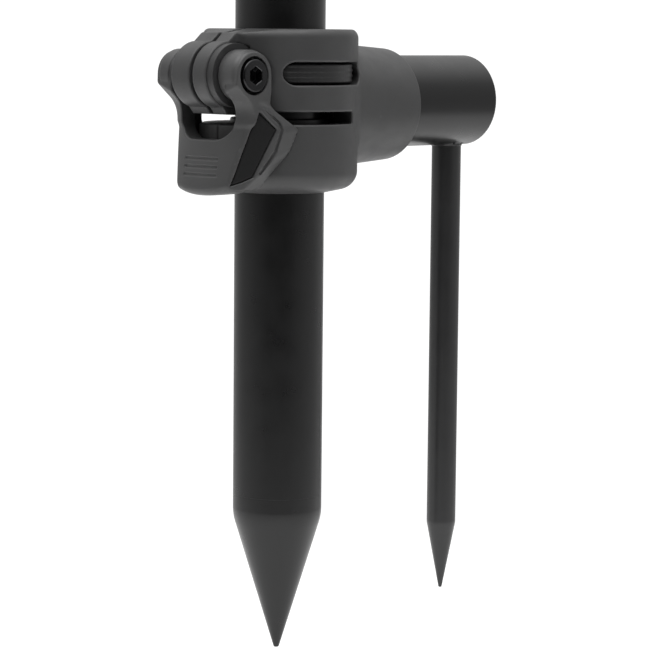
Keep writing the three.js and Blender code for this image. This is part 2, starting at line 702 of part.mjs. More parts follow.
function leverBolt() {
  const headSeat = EYE_RIGHT - EYE_RECESS_DEPTH + FIT;
  const headTop = headSeat + BOLT_HEAD_HEIGHT;
  const profile = turned([
    [0, 0.6 - EYE_LEFT],
    [BOLT_RADIUS, 0.6 - EYE_LEFT],
    [BOLT_RADIUS, headSeat],
    [BOLT_HEAD_RADIUS, headSeat],
    [BOLT_HEAD_RADIUS, headTop - 0.3],
    [BOLT_HEAD_RADIUS - 0.3, headTop],
    [0, headTop],
  ], SMALL_STEPS);
  const socket = new THREE.CylinderGeometry(HEX_RADIUS, HEX_RADIUS, 3, 6);
  socket.rotateX(Math.PI / 2).translate(0, 0, headTop);
  const bolt = solid(profile).subtract(solid(socket));
  return bolt.rotate([90, 0, 0]).translate([BOLT_X, 0, BOLT_Z]);
}

function leverNut() {
  const nut = new THREE.CylinderGeometry(BOLT_HEAD_RADIUS, BOLT_HEAD_RADIUS, BOLT_HEAD_HEIGHT, 6);
  nut.translate(BOLT_X, EYE_LEFT - EYE_RECESS_DEPTH + FIT + BOLT_HEAD_HEIGHT / 2, BOLT_Z);
  return solid(nut).subtract(boltRod(BOLT_RADIUS + FIT, 0, EYE_LEFT + 2));
}

function camWasher(from, to) {
  const ring = tube(WASHER_RADIUS, BOLT_RADIUS + RUNNING_FIT, from + FIT, to - FIT);
  return solid(place(ring, 'y', BOLT_X, 0, BOLT_Z));
}

addPiece('ground_spike', groundSpike(), 'tube');
addPiece('outer_tube', outerTube(), 'tube');
addPiece('tube_top_bush', tubeTopBush(), 'liner');
addPiece('lock_collar', lockCollar(), 'collar');
addPiece('lock_insert', lockInsert(), 'brass');
addPiece('thumbscrew_stem', thumbscrewStem(), 'steel');
addPiece('thumbscrew_knob', thumbscrewKnob(), 'lever');
addPiece('inner_tube', innerTube(), 'tube');
addPiece('inner_tube_foot', innerTubeFoot(), 'liner');
addPiece('head_insert', headInsert(), 'tube');
addPiece('lock_ring', lockRing(), 'tube');
addPiece('rest_stud', restStud(), 'steel');
addPiece('rod_rest', rodRest(), 'collar');
addPiece('rest_liner', restLiner(), 'rubber');
addPiece('guide_bush', guideBush(), 'liner');
addPiece('clamp_collar', clampCollar(), 'collar');
addPiece('grip_liner', gripLiner(), 'liner');
addPiece('side_arm', sideArm(), 'tube');
addPiece('arm_end_plug', armEndPlug(), 'tube');
addPiece('arm_inner_plug', armInnerPlug(), 'tube');
addPiece('anchor_screw', anchorScrew(), 'steel');
addPiece('stabiliser_spike', stabiliserSpike(), 'tube');
addPiece('cam_washer_left', camWasher(LUG_LEFT, EYE_INNER), 'liner');
addPiece('cam_washer_right', camWasher(-EYE_INNER, -LUG_RIGHT), 'liner');
addPiece('cam_lever', camLever(), 'lever');
addPiece('lever_inlay_left', leverInlay(), 'inlay');
addPiece('lever_inlay_right', leverInlay().mirror([0, 1, 0]), 'inlay');
addPiece('lever_bolt', leverBolt(), 'steel');
addPiece('lever_nut', leverNut(), 'steel');

export default stick;
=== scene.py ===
"""Looks for the bank stick rod holder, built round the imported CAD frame. Modelling code works in millimetres
and make_mesh() turns them into metres. Moulded parts are fields of signed distance (negative inside), which
gives them the blended edges of real mouldings, and turned parts are profiles swept round an axis."""
import math

import bpy
import numpy as np
from mathutils import Matrix, Vector


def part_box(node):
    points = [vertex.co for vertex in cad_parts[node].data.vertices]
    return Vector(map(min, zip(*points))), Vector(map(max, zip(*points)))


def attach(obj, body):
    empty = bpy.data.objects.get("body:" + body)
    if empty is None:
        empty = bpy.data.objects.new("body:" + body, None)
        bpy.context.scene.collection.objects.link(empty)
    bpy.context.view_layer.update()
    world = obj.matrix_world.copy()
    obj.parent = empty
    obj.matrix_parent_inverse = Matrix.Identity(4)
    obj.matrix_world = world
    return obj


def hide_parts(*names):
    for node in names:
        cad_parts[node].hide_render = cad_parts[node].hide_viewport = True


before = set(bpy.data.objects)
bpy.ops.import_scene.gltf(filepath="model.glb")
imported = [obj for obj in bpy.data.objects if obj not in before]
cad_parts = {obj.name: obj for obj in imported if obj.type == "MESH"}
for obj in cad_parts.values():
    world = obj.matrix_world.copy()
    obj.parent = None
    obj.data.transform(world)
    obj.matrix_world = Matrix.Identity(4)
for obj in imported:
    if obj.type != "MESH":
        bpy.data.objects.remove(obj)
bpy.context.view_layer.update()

MM = 0.001
SCENE = bpy.context.scene


def cad_box(node):
    """Lowest and highest corner of a CAD node, in millimetres."""
    low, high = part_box(node)
    return np.array(low) / MM, np.array(high) / MM


# ---------------------------------------------------------------- sizes, in millimetres
# They are the CAD's, except that the arm is 0.4 higher and 0.2 larger in radius, the windows are 0.2 lower,
# the collar's top is a little lower and the +Y eye stands further off its washer. Grooves, ribs, threads,
# knurls, seams and the weld round the stabiliser are added here.

FIT = 0.05                        # clearance of parts pressed or glued together
RUNNING_GAP = 0.1                 # clearance of parts that slide or turn on each other

STICK_RADIUS = 8.0
TUBE_WALL = 1.0
INNER_RADIUS = 6.3
SPIKE_TIP_RADIUS = 0.45
SPIKE_WALL = 4                    # height of the spike's straight wall between its cone and the tube
SPIKE_BEND = 9                    # radius of the bend from its cone to that wall

COLLAR_RADIUS = 13.85
COLLAR_TOP = 112.0
COLLAR_BOTTOM = 83.0
COLLAR_LIP_RADIUS = 8.2
COLLAR_TOP_DROP = 0.2
LUG_TOP_DIP = 0.7                 # further drop of the top edge over the lugs, reached within this length:
LUG_TOP_DIP_LENGTH = 4
UNDERSIDE_NORMAL = (0.214, 0.977)  # of the collar's conical underside: outwards, down
BUSH_BORE_RADIUS = 8.95
BUSH_BORE_FLOOR = 84
SLOT = (95.3, 97.5)
SLOT_END = 5.5
WINDOW_CENTRE = (0.3, 104.1)
WINDOW_HALF_LENGTH = 9.4
WINDOW_HALF_HEIGHT = 2.0
WINDOW_INNER = 2                  # windows and tabs start at this distance from the stick's axis
LINER_RADIUS = 9.6
LINER_SPAN = (SLOT[1] + 0.4, 111.1)
LINER_SPLIT_HALF_WIDTH = 1
LINER_SCREW_HOLE_RADIUS = 4.0
TAB_RADIUS = 12.8                 # to the middle of the ribs on the tab's face
TAB_GAP = 0.3
TAB_RIB_HEIGHT = 0.06
TAB_RIB_PITCH = 0.9
PAD_RADIUS = 15.0
PAD_HALF_WIDTH = 6.9
PAD_BOTTOM = 86.0
PAD_LINE_HALF_WIDTH = 0.16
PAD_LINE_DEPTH = 0.3
SPLIT_HALF_WIDTH = 0.45

ARM_HEIGHT = 98.7
ARM_RADIUS = 8.45
BOSS_HEIGHT = 98.2
BOSS_END = 26.1
BOSS_END_RADIUS = 10.22
BOSS_TAPER = 0.07                 # growth of the boss radius for each millimetre back from its end
BOSS_ROOT = 6
SOCKET_FLOOR = 13
ANCHOR_HOLE_RADIUS = 2.05
ANCHOR_HEAD_RADIUS = 3.75
ANCHOR_HEAD_SPAN = (5, 11.8)
STAB_X = 44.1
STAB_RADIUS = 2.78
STAB_TIP_RADIUS = 0.3
STAB_CONE_TOP = 17.3
STAB_HOLE_GAP = 0.02
STAB_HOLE_SPAN = (ARM_HEIGHT - ARM_RADIUS + 0.4, 103.3)
WELD_WIDTH = 0.1
WELD_DROP = 0.2

BOLT = (-15.6, 103.8)
BOLT_RADIUS = 1.5
BOLT_HOLE_RADIUS = BOLT_RADIUS + RUNNING_GAP
BOLT_HEAD_RADIUS = 2.85
BOLT_HEAD_HEIGHT = 2.2
BOLT_SOCKET_HALF_WIDTH = 1.35
BOLT_SOCKET_DEPTH = 1.6
BOLT_END_SINK = 0.6               # of the bolt's end below the +Y eye's face
NUT_HALF_WIDTH = 2.42
NUT_FACE_RADIUS = 2.75
NUT_HOLE_RADIUS = BOLT_RADIUS + FIT
LUG_LEFT = 5.0
LUG_RIGHT = 3.8
LUG_BOTTOM = 97.0
SPLIT_BOTTOM = LUG_BOTTOM - 1     # the saw cut through the upper band ends here
LUG_TOP = 111.3
LUG_ROOT = -9.0                   # where the lugs and the pad run into the collar
LUG_NOSE_RADIUS = 5.8
WASHER_RADIUS = 5.5
WASHER_GAP = 0.25
EYE_INNER = 5.4
EYE_LEFT = 10.6
EYE_RIGHT = 10.0
EYE_RADIUS = 4.4
EYE_HUB_RADIUS = 2.2
EYE_HUB_LENGTH = 3
EYE_STAND_OFF = 1.9               # of the +Y eye from its washer, on its thin hub
EYE_CHAMFER = 0.7
EYE_CHAMFER_NORMAL = (0.854, 0.52)  # away from the bolt's axis, along it
EYE_RECESS_RADIUS = 3.3
EYE_RECESS_DEPTH = 1.9
EYE_POCKET_RADIUS = 4.95

PADDLE_TOP = 98.6
PADDLE_BOTTOM = 83.0
PADDLE_BOTTOM_CURVE = 0.0165      # rise of the bottom edge for each square millimetre of y
PADDLE_RADIUS = 18.1
PADDLE_FLARE = 0.14               # growth of the paddle's radius for each millimetre below this height:
PADDLE_FLARE_TOP = 97
WING_TOP_PLANE = (0.605, 0.796, 70.89)  # x and z of the normal, distance from the origin
WING_SEAM_RADIUS = 0.25
WING_SEAM_DEPTH = 0.42
POCKET_DEPTH = 0.75
POCKET_INNER = 5
NECK_INNER = 6.3
NECK_RADIUS = 18.0
NECK_FLARE = 1.02                 # growth of the necks' radius for each millimetre above this height:
NECK_FLARE_BOTTOM = 98
PADDLE_HOLLOW_RADIUS = 15.6
PADDLE_HOLLOW_HALF_WIDTH = 7.5
WING_INNER_RADIUS = 14.05
LEVER_WINDOW_HALF_WIDTH = 6.9
LEVER_WINDOW_CORNER = 4.3
LEVER_WINDOW_FLOOR = 92.7
GRIP_LEVELS = (86.6, 88.0, 89.4)  # heights of the grip grooves on the paddle's front
GRIP_HALF_WIDTH = 4.2
GRIP_DEPTH = 0.28
INLAY_GAP = 0.12
INLAY_SINK = 0.12
INLAY_BED = 0.03

LOCK_RADIUS = 12.2
LOCK_GROOVE_LEVELS = (187.0, 189.4, 191.8)
LOCK_GROOVE_HEIGHT = 0.9
LOCK_GROOVE_DEPTH = 0.45
LOCK_TUBE_TOP = 196.05            # the outer tube's end inside the lock collar
LOCK_BORE_RADIUS = 6.4
LOCK_SCREW_HEIGHT = 203.5
LOCK_BOSS_RADIUS = 5.8
LOCK_BOSS_SPAN = (-16.0, -7)
INSERT_RADIUS = 3.7
INSERT_HOLE_RADIUS = 2.5
INSERT_POCKET_END = -7.9
STEM_RADIUS = 2.4
STEM_TIP_RADIUS = 1.9
STEM_THREAD = (0.8, 0.25)         # pitch and depth
KNOB_RADIUS = 6.55
KNOB_LOBES = 6
KNOB_LOBE_HEIGHT = 0.55
KNOB_DISH_RADIUS = 7.3
KNOB_DISH_OFFSET = 6.5            # from the knob's outer face out to the centre of the dish in it
KNOB_HOLE_RADIUS = 2.45
KNOB_HOLE_END = -24.1
STUD_RADIUS = 4.76
HEAD_BORE_RADIUS = STUD_RADIUS + RUNNING_GAP
HEAD_RIM_RADIUS = 7.4
HEAD_GROOVE_RADIUS = 7.0
RING_GRIP_RADIUS = 8.3
RING_EDGE = 0.7
RING_KNURLS = 28
RING_KNURL_START = 8.6            # points inside this radius stay round
RING_KNURL_DEPTH = 0.32
STUD_TIP_RADIUS = 4.1
STUD_THREAD = (1.27, 0.35)        # pitch and depth
STUD_POCKET_RADIUS = STUD_RADIUS + FIT
STUD_POCKET_TOP = 236.8
HUB_RADIUS = 6.6
HUB_HEIGHT = 10
HUB_FLUTES = 12
HUB_FLUTE_RADIUS = 6.4
HUB_FLUTE_DEPTH = 0.3
CRADLE_CENTRE = 253.3
CRADLE_HALF_WIDTH = 5.5
CRADLE_INNER = (12.0, 16.0)       # radius of the seat, and half width at the mouth
CRADLE_OUTER = (15.6, 19.6)
REST_PAD_OUTER = 11.95
REST_PAD_INNER = 10.76
REST_PAD_HALF_WIDTH = 4.9
REST_PAD_RIBS = 44
REST_PAD_RIB_HEIGHT = 0.16

# Corners of the lever's +Y wing. The other wing is its mirror image.
RIDGE_TOP = (-15.55, 9.35, 97.0)
RIDGE_FOOT = (-18.54, 6.65, 85.3)
SEAM_TOP = (-13.87, 10.42, 98.27)
SEAM_CORNER = (-10.73, 11.9, 94.57)
SEAM_FOOT = (-13.64, 9.60, 87.03)
WING_EDGE = (-9.0, 11.2, 90.3)
WING_FOOT = (-11.92, 8.08, 85.2)
WING_TIP = (-7.63, 12.21, 94.91)


# ---------------------------------------------------------------- distance fields

def join(a, b, fillet=0.0):
    """Union of two fields, with a round fillet where they meet."""
    if fillet <= 0:
        return np.minimum(a, b)
    inner = np.sqrt(np.maximum(fillet - a, 0) ** 2 + np.maximum(fillet - b, 0) ** 2)
    return np.maximum(fillet, np.minimum(a, b)) - inner


def meet(a, b, edge=0.0):
    """Intersection of two fields, with a rounded edge where they cross."""
    return -join(-a, -b, edge)


def cut(a, b, edge=0.0):
    """Field a with b taken away, with a rounded edge round the cut."""
    return meet(a, -b, edge)


def slab(u, low, high):
    """Distance to the space between two parallel planes."""
    return np.abs(u - (low + high) / 2) - (high - low) / 2


def disc(u, v, radius=0.0):
    return np.sqrt(u * u + v * v) - radius


def from_bolt(x, z, radius=0.0):
    """Distance to a cylinder round the lever bolt's axis."""
    return disc(x - BOLT[0], z - BOLT[1], radius)


def hexagon(u, v, half_width):
    """A regular hexagon with two of its flats facing along u."""
    widest = np.abs(u)
    for angle in (60, 120):
        c, s = math.cos(math.radians(angle)), math.sin(math.radians(angle))
        widest = np.maximum(widest, np.abs(c * u + s * v))
    return widest - half_width


def capsule(u, v, centre, half_length, radius):
    """A shape with round ends, lying along u."""
    along = np.maximum(np.abs(u - centre[0]) - (half_length - radius), 0)
    return np.sqrt(along ** 2 + (v - centre[1]) ** 2) - radius


def polyline(u, v, points):
    """Distance to a chain of straight lines in a plane."""
    nearest = np.inf
    for (au, av), (bu, bv) in zip(points, points[1:]):
        du, dv = bu - au, bv - av
        share = np.clip(((u - au) * du + (v - av) * dv) / (du * du + dv * dv), 0, 1)
        nearest = np.minimum(nearest, (u - au - share * du) ** 2 + (v - av - share * dv) ** 2)
    return np.sqrt(nearest)


def polygon(u, v, points):
    """Distance to a closed outline in a plane."""
    outline = points + points[:1]
    inside = False
    for (au, av), (bu, bv) in zip(outline, outline[1:]):
        du, dv = bu - au, bv - av
        crosses = ((v >= av) != (v >= bv)) & (((u - au) * dv < du * (v - av)) == (dv > 0))
        inside = inside ^ crosses
    return np.where(inside, -1.0, 1.0) * polyline(u, v, outline)


def plane(x, y, z, a, b, c):
    """Distance beyond the plane through three points, on the side that faces +Y."""
    normal = np.cross(np.subtract(b, a), np.subtract(c, a))
    normal = normal / np.linalg.norm(normal) * np.sign(normal[1])
    return normal[0] * (x - a[0]) + normal[1] * (y - a[1]) + normal[2] * (z - a[2])


def arc(cu, cv, radius, start, end, steps):
    """Points of an arc in a plane, from one angle to another in degrees."""
    angles = [math.radians(start + (end - start) * i / steps) for i in range(steps + 1)]
    return [(cu + radius * math.cos(a), cv + radius * math.sin(a)) for a in angles]


CORNERS = [(i, j, k) for i in (0, 1) for j in (0, 1) for k in (0, 1)]


def surface_net(field, low, high, step):
    """A closed quad mesh of a field's zero surface: one point for each grid cell that the surface crosses."""
    counts = [int(math.ceil((b - a) / step)) + 1 for a, b in zip(low, high)]
    x, y, z = [a + step * np.arange(n) for a, n in zip(low, counts)]
    value = np.broadcast_to(field(x[:, None, None], y[None, :, None], z[None, None, :]), counts)
    inside = value < 0
    cells = [n - 1 for n in counts]
    filled = np.zeros(cells, np.int8)
    for i, j, k in CORNERS:
        filled += inside[i:i + cells[0], j:j + cells[1], k:k + cells[2]]
    active = (filled > 0) & (filled < 8)
    where = np.argwhere(active)
    ids = np.full(cells, -1, np.int64)
    ids[active] = np.arange(len(where))

    # Each point is the mean of the places where the surface crosses its cell's twelve edges.
    total = np.zeros((len(where), 3))
    hits = np.zeros(len(where))
    for corner in CORNERS:
        for axis in range(3):
            if corner[axis]:
                continue
            far = list(corner)
            far[axis] = 1
            a = value[tuple((where + corner).T)]
            b = value[tuple((where + far).T)]
            crossed = (a < 0) != (b < 0)
            share = np.where(crossed, a / np.where(crossed, a - b, 1), 0)
            spot = np.tile(np.array(corner, float), (len(where), 1))
            spot[:, axis] += share
            total += spot * crossed[:, None]
            hits += crossed
    points = (where + total / hits[:, None]) * step + np.array(low)

    # Each grid edge that the surface crosses gives a quad between the four cells round it.
    faces = []
    for axis in range(3):
        side_a, side_b = [(1, 2), (2, 0), (0, 1)][axis]
        first = [slice(1, -1)] * 3
        first[axis] = slice(0, -1)
        second = list(first)
        second[axis] = slice(1, None)
        from_inside = inside[tuple(first)]
        spots = np.argwhere(from_inside != inside[tuple(second)])
        outward = from_inside[tuple(spots.T)]
        base = spots + 1
        base[:, axis] -= 1
        ring = []
        for da, db in ((0, 0), (-1, 0), (-1, -1), (0, -1)):
            cell = base.copy()
            cell[:, side_a] += da
            cell[:, side_b] += db
            ring.append(ids[tuple(cell.T)])
        quads = np.stack(ring, 1)
        quads[~outward] = quads[~outward][:, ::-1]
        faces.append(quads)
    return points, np.concatenate(faces)


def settle(field, points, rounds=4, reach=0.02, least_slope=0.5, share=0.9):
    """Moves points onto the field's zero surface along its slope, a share of the way in each round."""
    for _ in range(rounds):
        x, y, z = points.T
        value = field(x, y, z)
        slope = np.stack([
            field(x + reach, y, z) - field(x - reach, y, z),
            field(x, y + reach, z) - field(x, y - reach, z),
            field(x, y, z + reach) - field(x, y, z - reach),
        ], 1) / (2 * reach)
        size = np.maximum((slope ** 2).sum(1), least_slope ** 2)
        points = points - (value / size)[:, None] * slope * share
    return points


# ---------------------------------------------------------------- mesh pieces

def make_mesh(name, points, faces, surface):
    """A smooth-shaded mesh object from points in millimetres."""
    mesh = bpy.data.meshes.new(name)
    mesh.from_pydata((np.asarray(points) * MM).tolist(), [], [list(map(int, f)) for f in faces])
    mesh.update()
    mesh.polygons.foreach_set("use_smooth", [True] * len(mesh.polygons))
    mesh.materials.append(surface)
    piece = bpy.data.objects.new(name, mesh)
    SCENE.collection.objects.link(piece)
    return piece


def moulded(name, field, low, high, surface, step=0.3):
    """A piece from a distance field, with its points settled on the exact surface."""
    points, faces = surface_net(field, [c - 2 * step for c in low], [c + 2 * step for c in high], step)
    return make_mesh(name, settle(field, points), faces, surface)


def rounded(corners):
    """A closed outline whose corners, each (u, v, edge radius), are rounded by arcs with a support point
    on either side, so that the flat between two corners shades flat."""
    outline = []
    for i, (u, v, edge) in enumerate(corners):
        here = np.array([u, v], float)
        if edge <= 0:
            outline.append(here)
            continue
        back = np.array(corners[i - 1][:2]) - here
        ahead = np.array(corners[(i + 1) % len(corners)][:2]) - here
        back_length, ahead_length = np.linalg.norm(back), np.linalg.norm(ahead)
        back, ahead = back / back_length, ahead / ahead_length
        half = math.acos(np.clip(back @ ahead, -1, 1)) / 2
        reach = edge / math.tan(half)
        centre = here + (back + ahead) / np.linalg.norm(back + ahead) * edge / math.sin(half)
        support = min(0.25 * edge, 0.1)
        outline.append(here + back * (reach + support))
        start, end = here + back * reach - centre, here + ahead * reach - centre
        sweep = math.pi - 2 * half
        steps = max(3, int(math.degrees(sweep) / 15))
        for k in range(steps + 1):
            share = k / steps
            mixed = (math.sin((1 - share) * sweep) * start + math.sin(share * sweep) * end) / math.sin(sweep)
            outline.append(centre + mixed)
        outline.append(here + ahead * (reach + support))
    return outline


def lathe(outline, steps=96, shape=None):
    """Points and faces of an outline of (radius, height), closed or ending on the axis, swept round Z.
    shape(angle, radius, height) may change the radius at each point."""
    angles = 2 * math.pi * np.arange(steps) / steps
    points, rings, faces = [], [], []
    for radius, height in outline:
        if radius < 1e-6:
            rings.append([len(points)] * steps)
            points.append((0, 0, height))
            continue
        rings.append(list(range(len(points), len(points) + steps)))
        for angle in angles:
            r = shape(angle, radius, height) if shape else radius
            points.append((r * math.cos(angle), r * math.sin(angle), height))
    pairs = list(zip(rings, rings[1:]))
    if outline[0][0] > 1e-6:
        pairs.append((rings[-1], rings[0]))
    for lower, upper in pairs:
        for i in range(steps):
            j = (i + 1) % steps
            corner = [lower[i], lower[j], upper[j], upper[i]]
            face = [c for n, c in enumerate(corner) if c != corner[n - 1]]
            if len(face) > 2:
                faces.append(face)
    return np.array(points, float), faces


def turned(name, outline, surface, axis="z", centre=(0, 0, 0), steps=96, shape=None):
    """A lathe piece along an axis. Outlines run so that the material is on their left."""
    points, faces = lathe(outline, steps, shape)
    if axis == "x":
        points = points[:, [2, 0, 1]]
    if axis == "y":
        points = points[:, [1, 2, 0]]
    return make_mesh(name, points + np.array(centre, float), faces, surface)


def finish_piece(piece, body, slot, *nodes):
    """Rides a piece on its body and hides the CAD nodes that it stands for. Its slot argument is not used."""
    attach(piece, body)
    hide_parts(*nodes)


# ---------------------------------------------------------------- materials

def surface_material(name, colour, roughness, metallic=0.0, grain=4500, bump=0.02, mottle=0.12, wear=0.0,
                     lines=0.0, specular=0.5, roughness_spread=0.06):
    """A procedural surface. grain is the texture's fineness in cells per metre, bump its height in
    millimetres, mottle how far the colour varies, wear how much convex edges lighten, and lines the height
    of turning lines round Z."""
    material = bpy.data.materials.new(name)
    material.use_nodes = True
    nodes, links = material.node_tree.nodes, material.node_tree.links
    shader = nodes["Principled BSDF"]
    shader.inputs["Metallic"].default_value = metallic
    shader.inputs["Specular IOR Level"].default_value = specular
    place = nodes.new("ShaderNodeTexCoord").outputs["Object"]

    def noise(scale, detail=2.0, stretch=None):
        texture = nodes.new("ShaderNodeTexNoise")
        texture.inputs["Scale"].default_value = scale
        texture.inputs["Detail"].default_value = detail
        if stretch:
            mapping = nodes.new("ShaderNodeMapping")
            mapping.inputs["Scale"].default_value = stretch
            links.new(place, mapping.inputs["Vector"])
            links.new(mapping.outputs["Vector"], texture.inputs["Vector"])
        else:
            links.new(place, texture.inputs["Vector"])
        return texture.outputs["Fac"]

    def spread(source, low, high):
        """Maps the middle of a texture's range to low..high."""
        mapped = nodes.new("ShaderNodeMapRange")
        mapped.inputs["From Min"].default_value = 0.3
        mapped.inputs["From Max"].default_value = 0.7
        mapped.inputs["To Min"].default_value = low
        mapped.inputs["To Max"].default_value = high
        links.new(source, mapped.inputs["Value"])
        return mapped.outputs["Result"]

    clouds = noise(90, 4.0)
    fine = noise(grain, 2.0)
    tint = nodes.new("ShaderNodeMix")
    tint.data_type = "RGBA"
    tint.inputs["A"].default_value = (*[c * (1 - mottle) for c in colour], 1)
    tint.inputs["B"].default_value = (*[min(c * (1 + mottle), 1) for c in colour], 1)
    links.new(spread(clouds, 0, 1), tint.inputs["Factor"])
    shade = tint.outputs["Result"]
    if wear:
        edge = nodes.new("ShaderNodeMapRange")
        edge.inputs["From Min"].default_value = 0.53
        edge.inputs["From Max"].default_value = 0.68
        edge.inputs["To Max"].default_value = wear
        links.new(nodes.new("ShaderNodeNewGeometry").outputs["Pointiness"], edge.inputs["Value"])
        worn = nodes.new("ShaderNodeMix")
        worn.data_type = "RGBA"
        worn.inputs["B"].default_value = (*[min(c * 2.2 + 0.02, 1) for c in colour], 1)
        links.new(edge.outputs["Result"], worn.inputs["Factor"])
        links.new(shade, worn.inputs["A"])
        shade = worn.outputs["Result"]
    links.new(shade, shader.inputs["Base Color"])
    links.new(spread(noise(260, 3.0), roughness - roughness_spread, roughness + roughness_spread),
              shader.inputs["Roughness"])

    relief = nodes.new("ShaderNodeBump")
    relief.inputs["Strength"].default_value = 1.0
    relief.inputs["Distance"].default_value = bump * MM
    links.new(fine, relief.inputs["Height"])
    if lines:
        rings = nodes.new("ShaderNodeBump")
        rings.inputs["Strength"].default_value = 1.0
        rings.inputs["Distance"].default_value = lines * MM
        links.new(noise(1.0, 2.0, (40, 40, 5000)), rings.inputs["Height"])
        links.new(rings.outputs["Normal"], relief.inputs["Normal"])
    links.new(relief.outputs["Normal"], shader.inputs["Normal"])
    return material


TUBE = surface_material("tube_anodised", (0.0045, 0.0045, 0.0047), 0.30, grain=6000, bump=0.003, mottle=0.10,
                        wear=0.1, lines=0.0012, specular=0.45, roughness_spread=0.03)
PIN = surface_material("pin_anodised", (0.020, 0.020, 0.0205), 0.32, grain=6000, bump=0.003, mottle=0.10,
                       wear=0.1, lines=0.0012, roughness_spread=0.03)
COLLAR = surface_material("collar_nylon", (0.045, 0.045, 0.0455), 0.48, grain=5200, bump=0.014, mottle=0.10,
                          wear=0.15)
LEVER = surface_material("lever_nylon", (0.056, 0.056, 0.0565), 0.44, grain=4200, bump=0.016, wear=0.2)
INLAY = surface_material("inlay_grip", (0.004, 0.004, 0.0042), 0.60, grain=5200, bump=0.03, specular=0.3)
CAM = surface_material("cam_nylon", (0.026, 0.026, 0.0265), 0.48, grain=5200, bump=0.012, mottle=0.10,
                       wear=0.15)
LINER = surface_material("liner_acetal", (0.014, 0.014, 0.0142), 0.38, grain=3000, bump=0.010, mottle=0.15)
STEEL = surface_material("steel_black_oxide", (0.032, 0.032, 0.033), 0.14, metallic=0.9, grain=2500,
                         bump=0.006, mottle=0.3, wear=2.0)
BRASS = surface_material("brass_turned", (0.45, 0.28, 0.09), 0.28, metallic=1.0, grain=5000, bump=0.003,
                         mottle=0.1, lines=0.003)
RUBBER = surface_material("rubber_soft", (0.010, 0.010, 0.010), 0.75, grain=3500, bump=0.03, mottle=0.15)


# ---------------------------------------------------------------- spikes and tubes

def build_stick():
    spike_low, spike_high = cad_box("ground_spike")
    tube_low, tube_high = cad_box("outer_tube")
    cone_top = tube_low[2]
    seam = cone_top + SPIKE_WALL
    inner = STICK_RADIUS - TUBE_WALL
    spike = turned("spike_point", rounded([
        (0, spike_low[2], 0),
        (SPIKE_TIP_RADIUS, spike_low[2], 0.3),
        (STICK_RADIUS, cone_top, SPIKE_BEND),
        (STICK_RADIUS, seam, 0.04),
        (inner - FIT, seam, 0),
        (inner - FIT, spike_high[2], 0.4),
        (0, spike_high[2], 0),
    ]), TUBE)
    finish_piece(spike, "stick", "tube", "ground_spike")
    tube = turned("main_tube", rounded([
        (inner, seam, 0),
        (STICK_RADIUS, seam, 0.04),
        (STICK_RADIUS, tube_high[2], 0.3),
        (inner, tube_high[2], 0.3),
    ]), TUBE)
    finish_piece(tube, "stick", "tube", "outer_tube")


# ---------------------------------------------------------------- clamp

LUG_OUTLINE = [
    (LUG_ROOT, LUG_BOTTOM),
    (LUG_ROOT, LUG_TOP),
    (-14.1, LUG_TOP),
    *arc(BOLT[0], BOLT[1], LUG_NOSE_RADIUS, 95, 253, 24),
    (-16.3, LUG_BOTTOM),
]


def collar_pad(x, y, z):
    """The raised pad on the front of the lower ring that the lever's paddle closes over."""
    radius = disc(x, y)
    pad = meet(radius - PAD_RADIUS, np.abs(y) - PAD_HALF_WIDTH, 0.7)
    pad = meet(pad, slab(z, PAD_BOTTOM, SLOT[0]), 0.5)
    pad = meet(pad, x - LUG_ROOT)
    line = meet(np.abs(y) - PAD_LINE_HALF_WIDTH, PAD_RADIUS - PAD_LINE_DEPTH - radius)
    return cut(pad, line, 0.1)


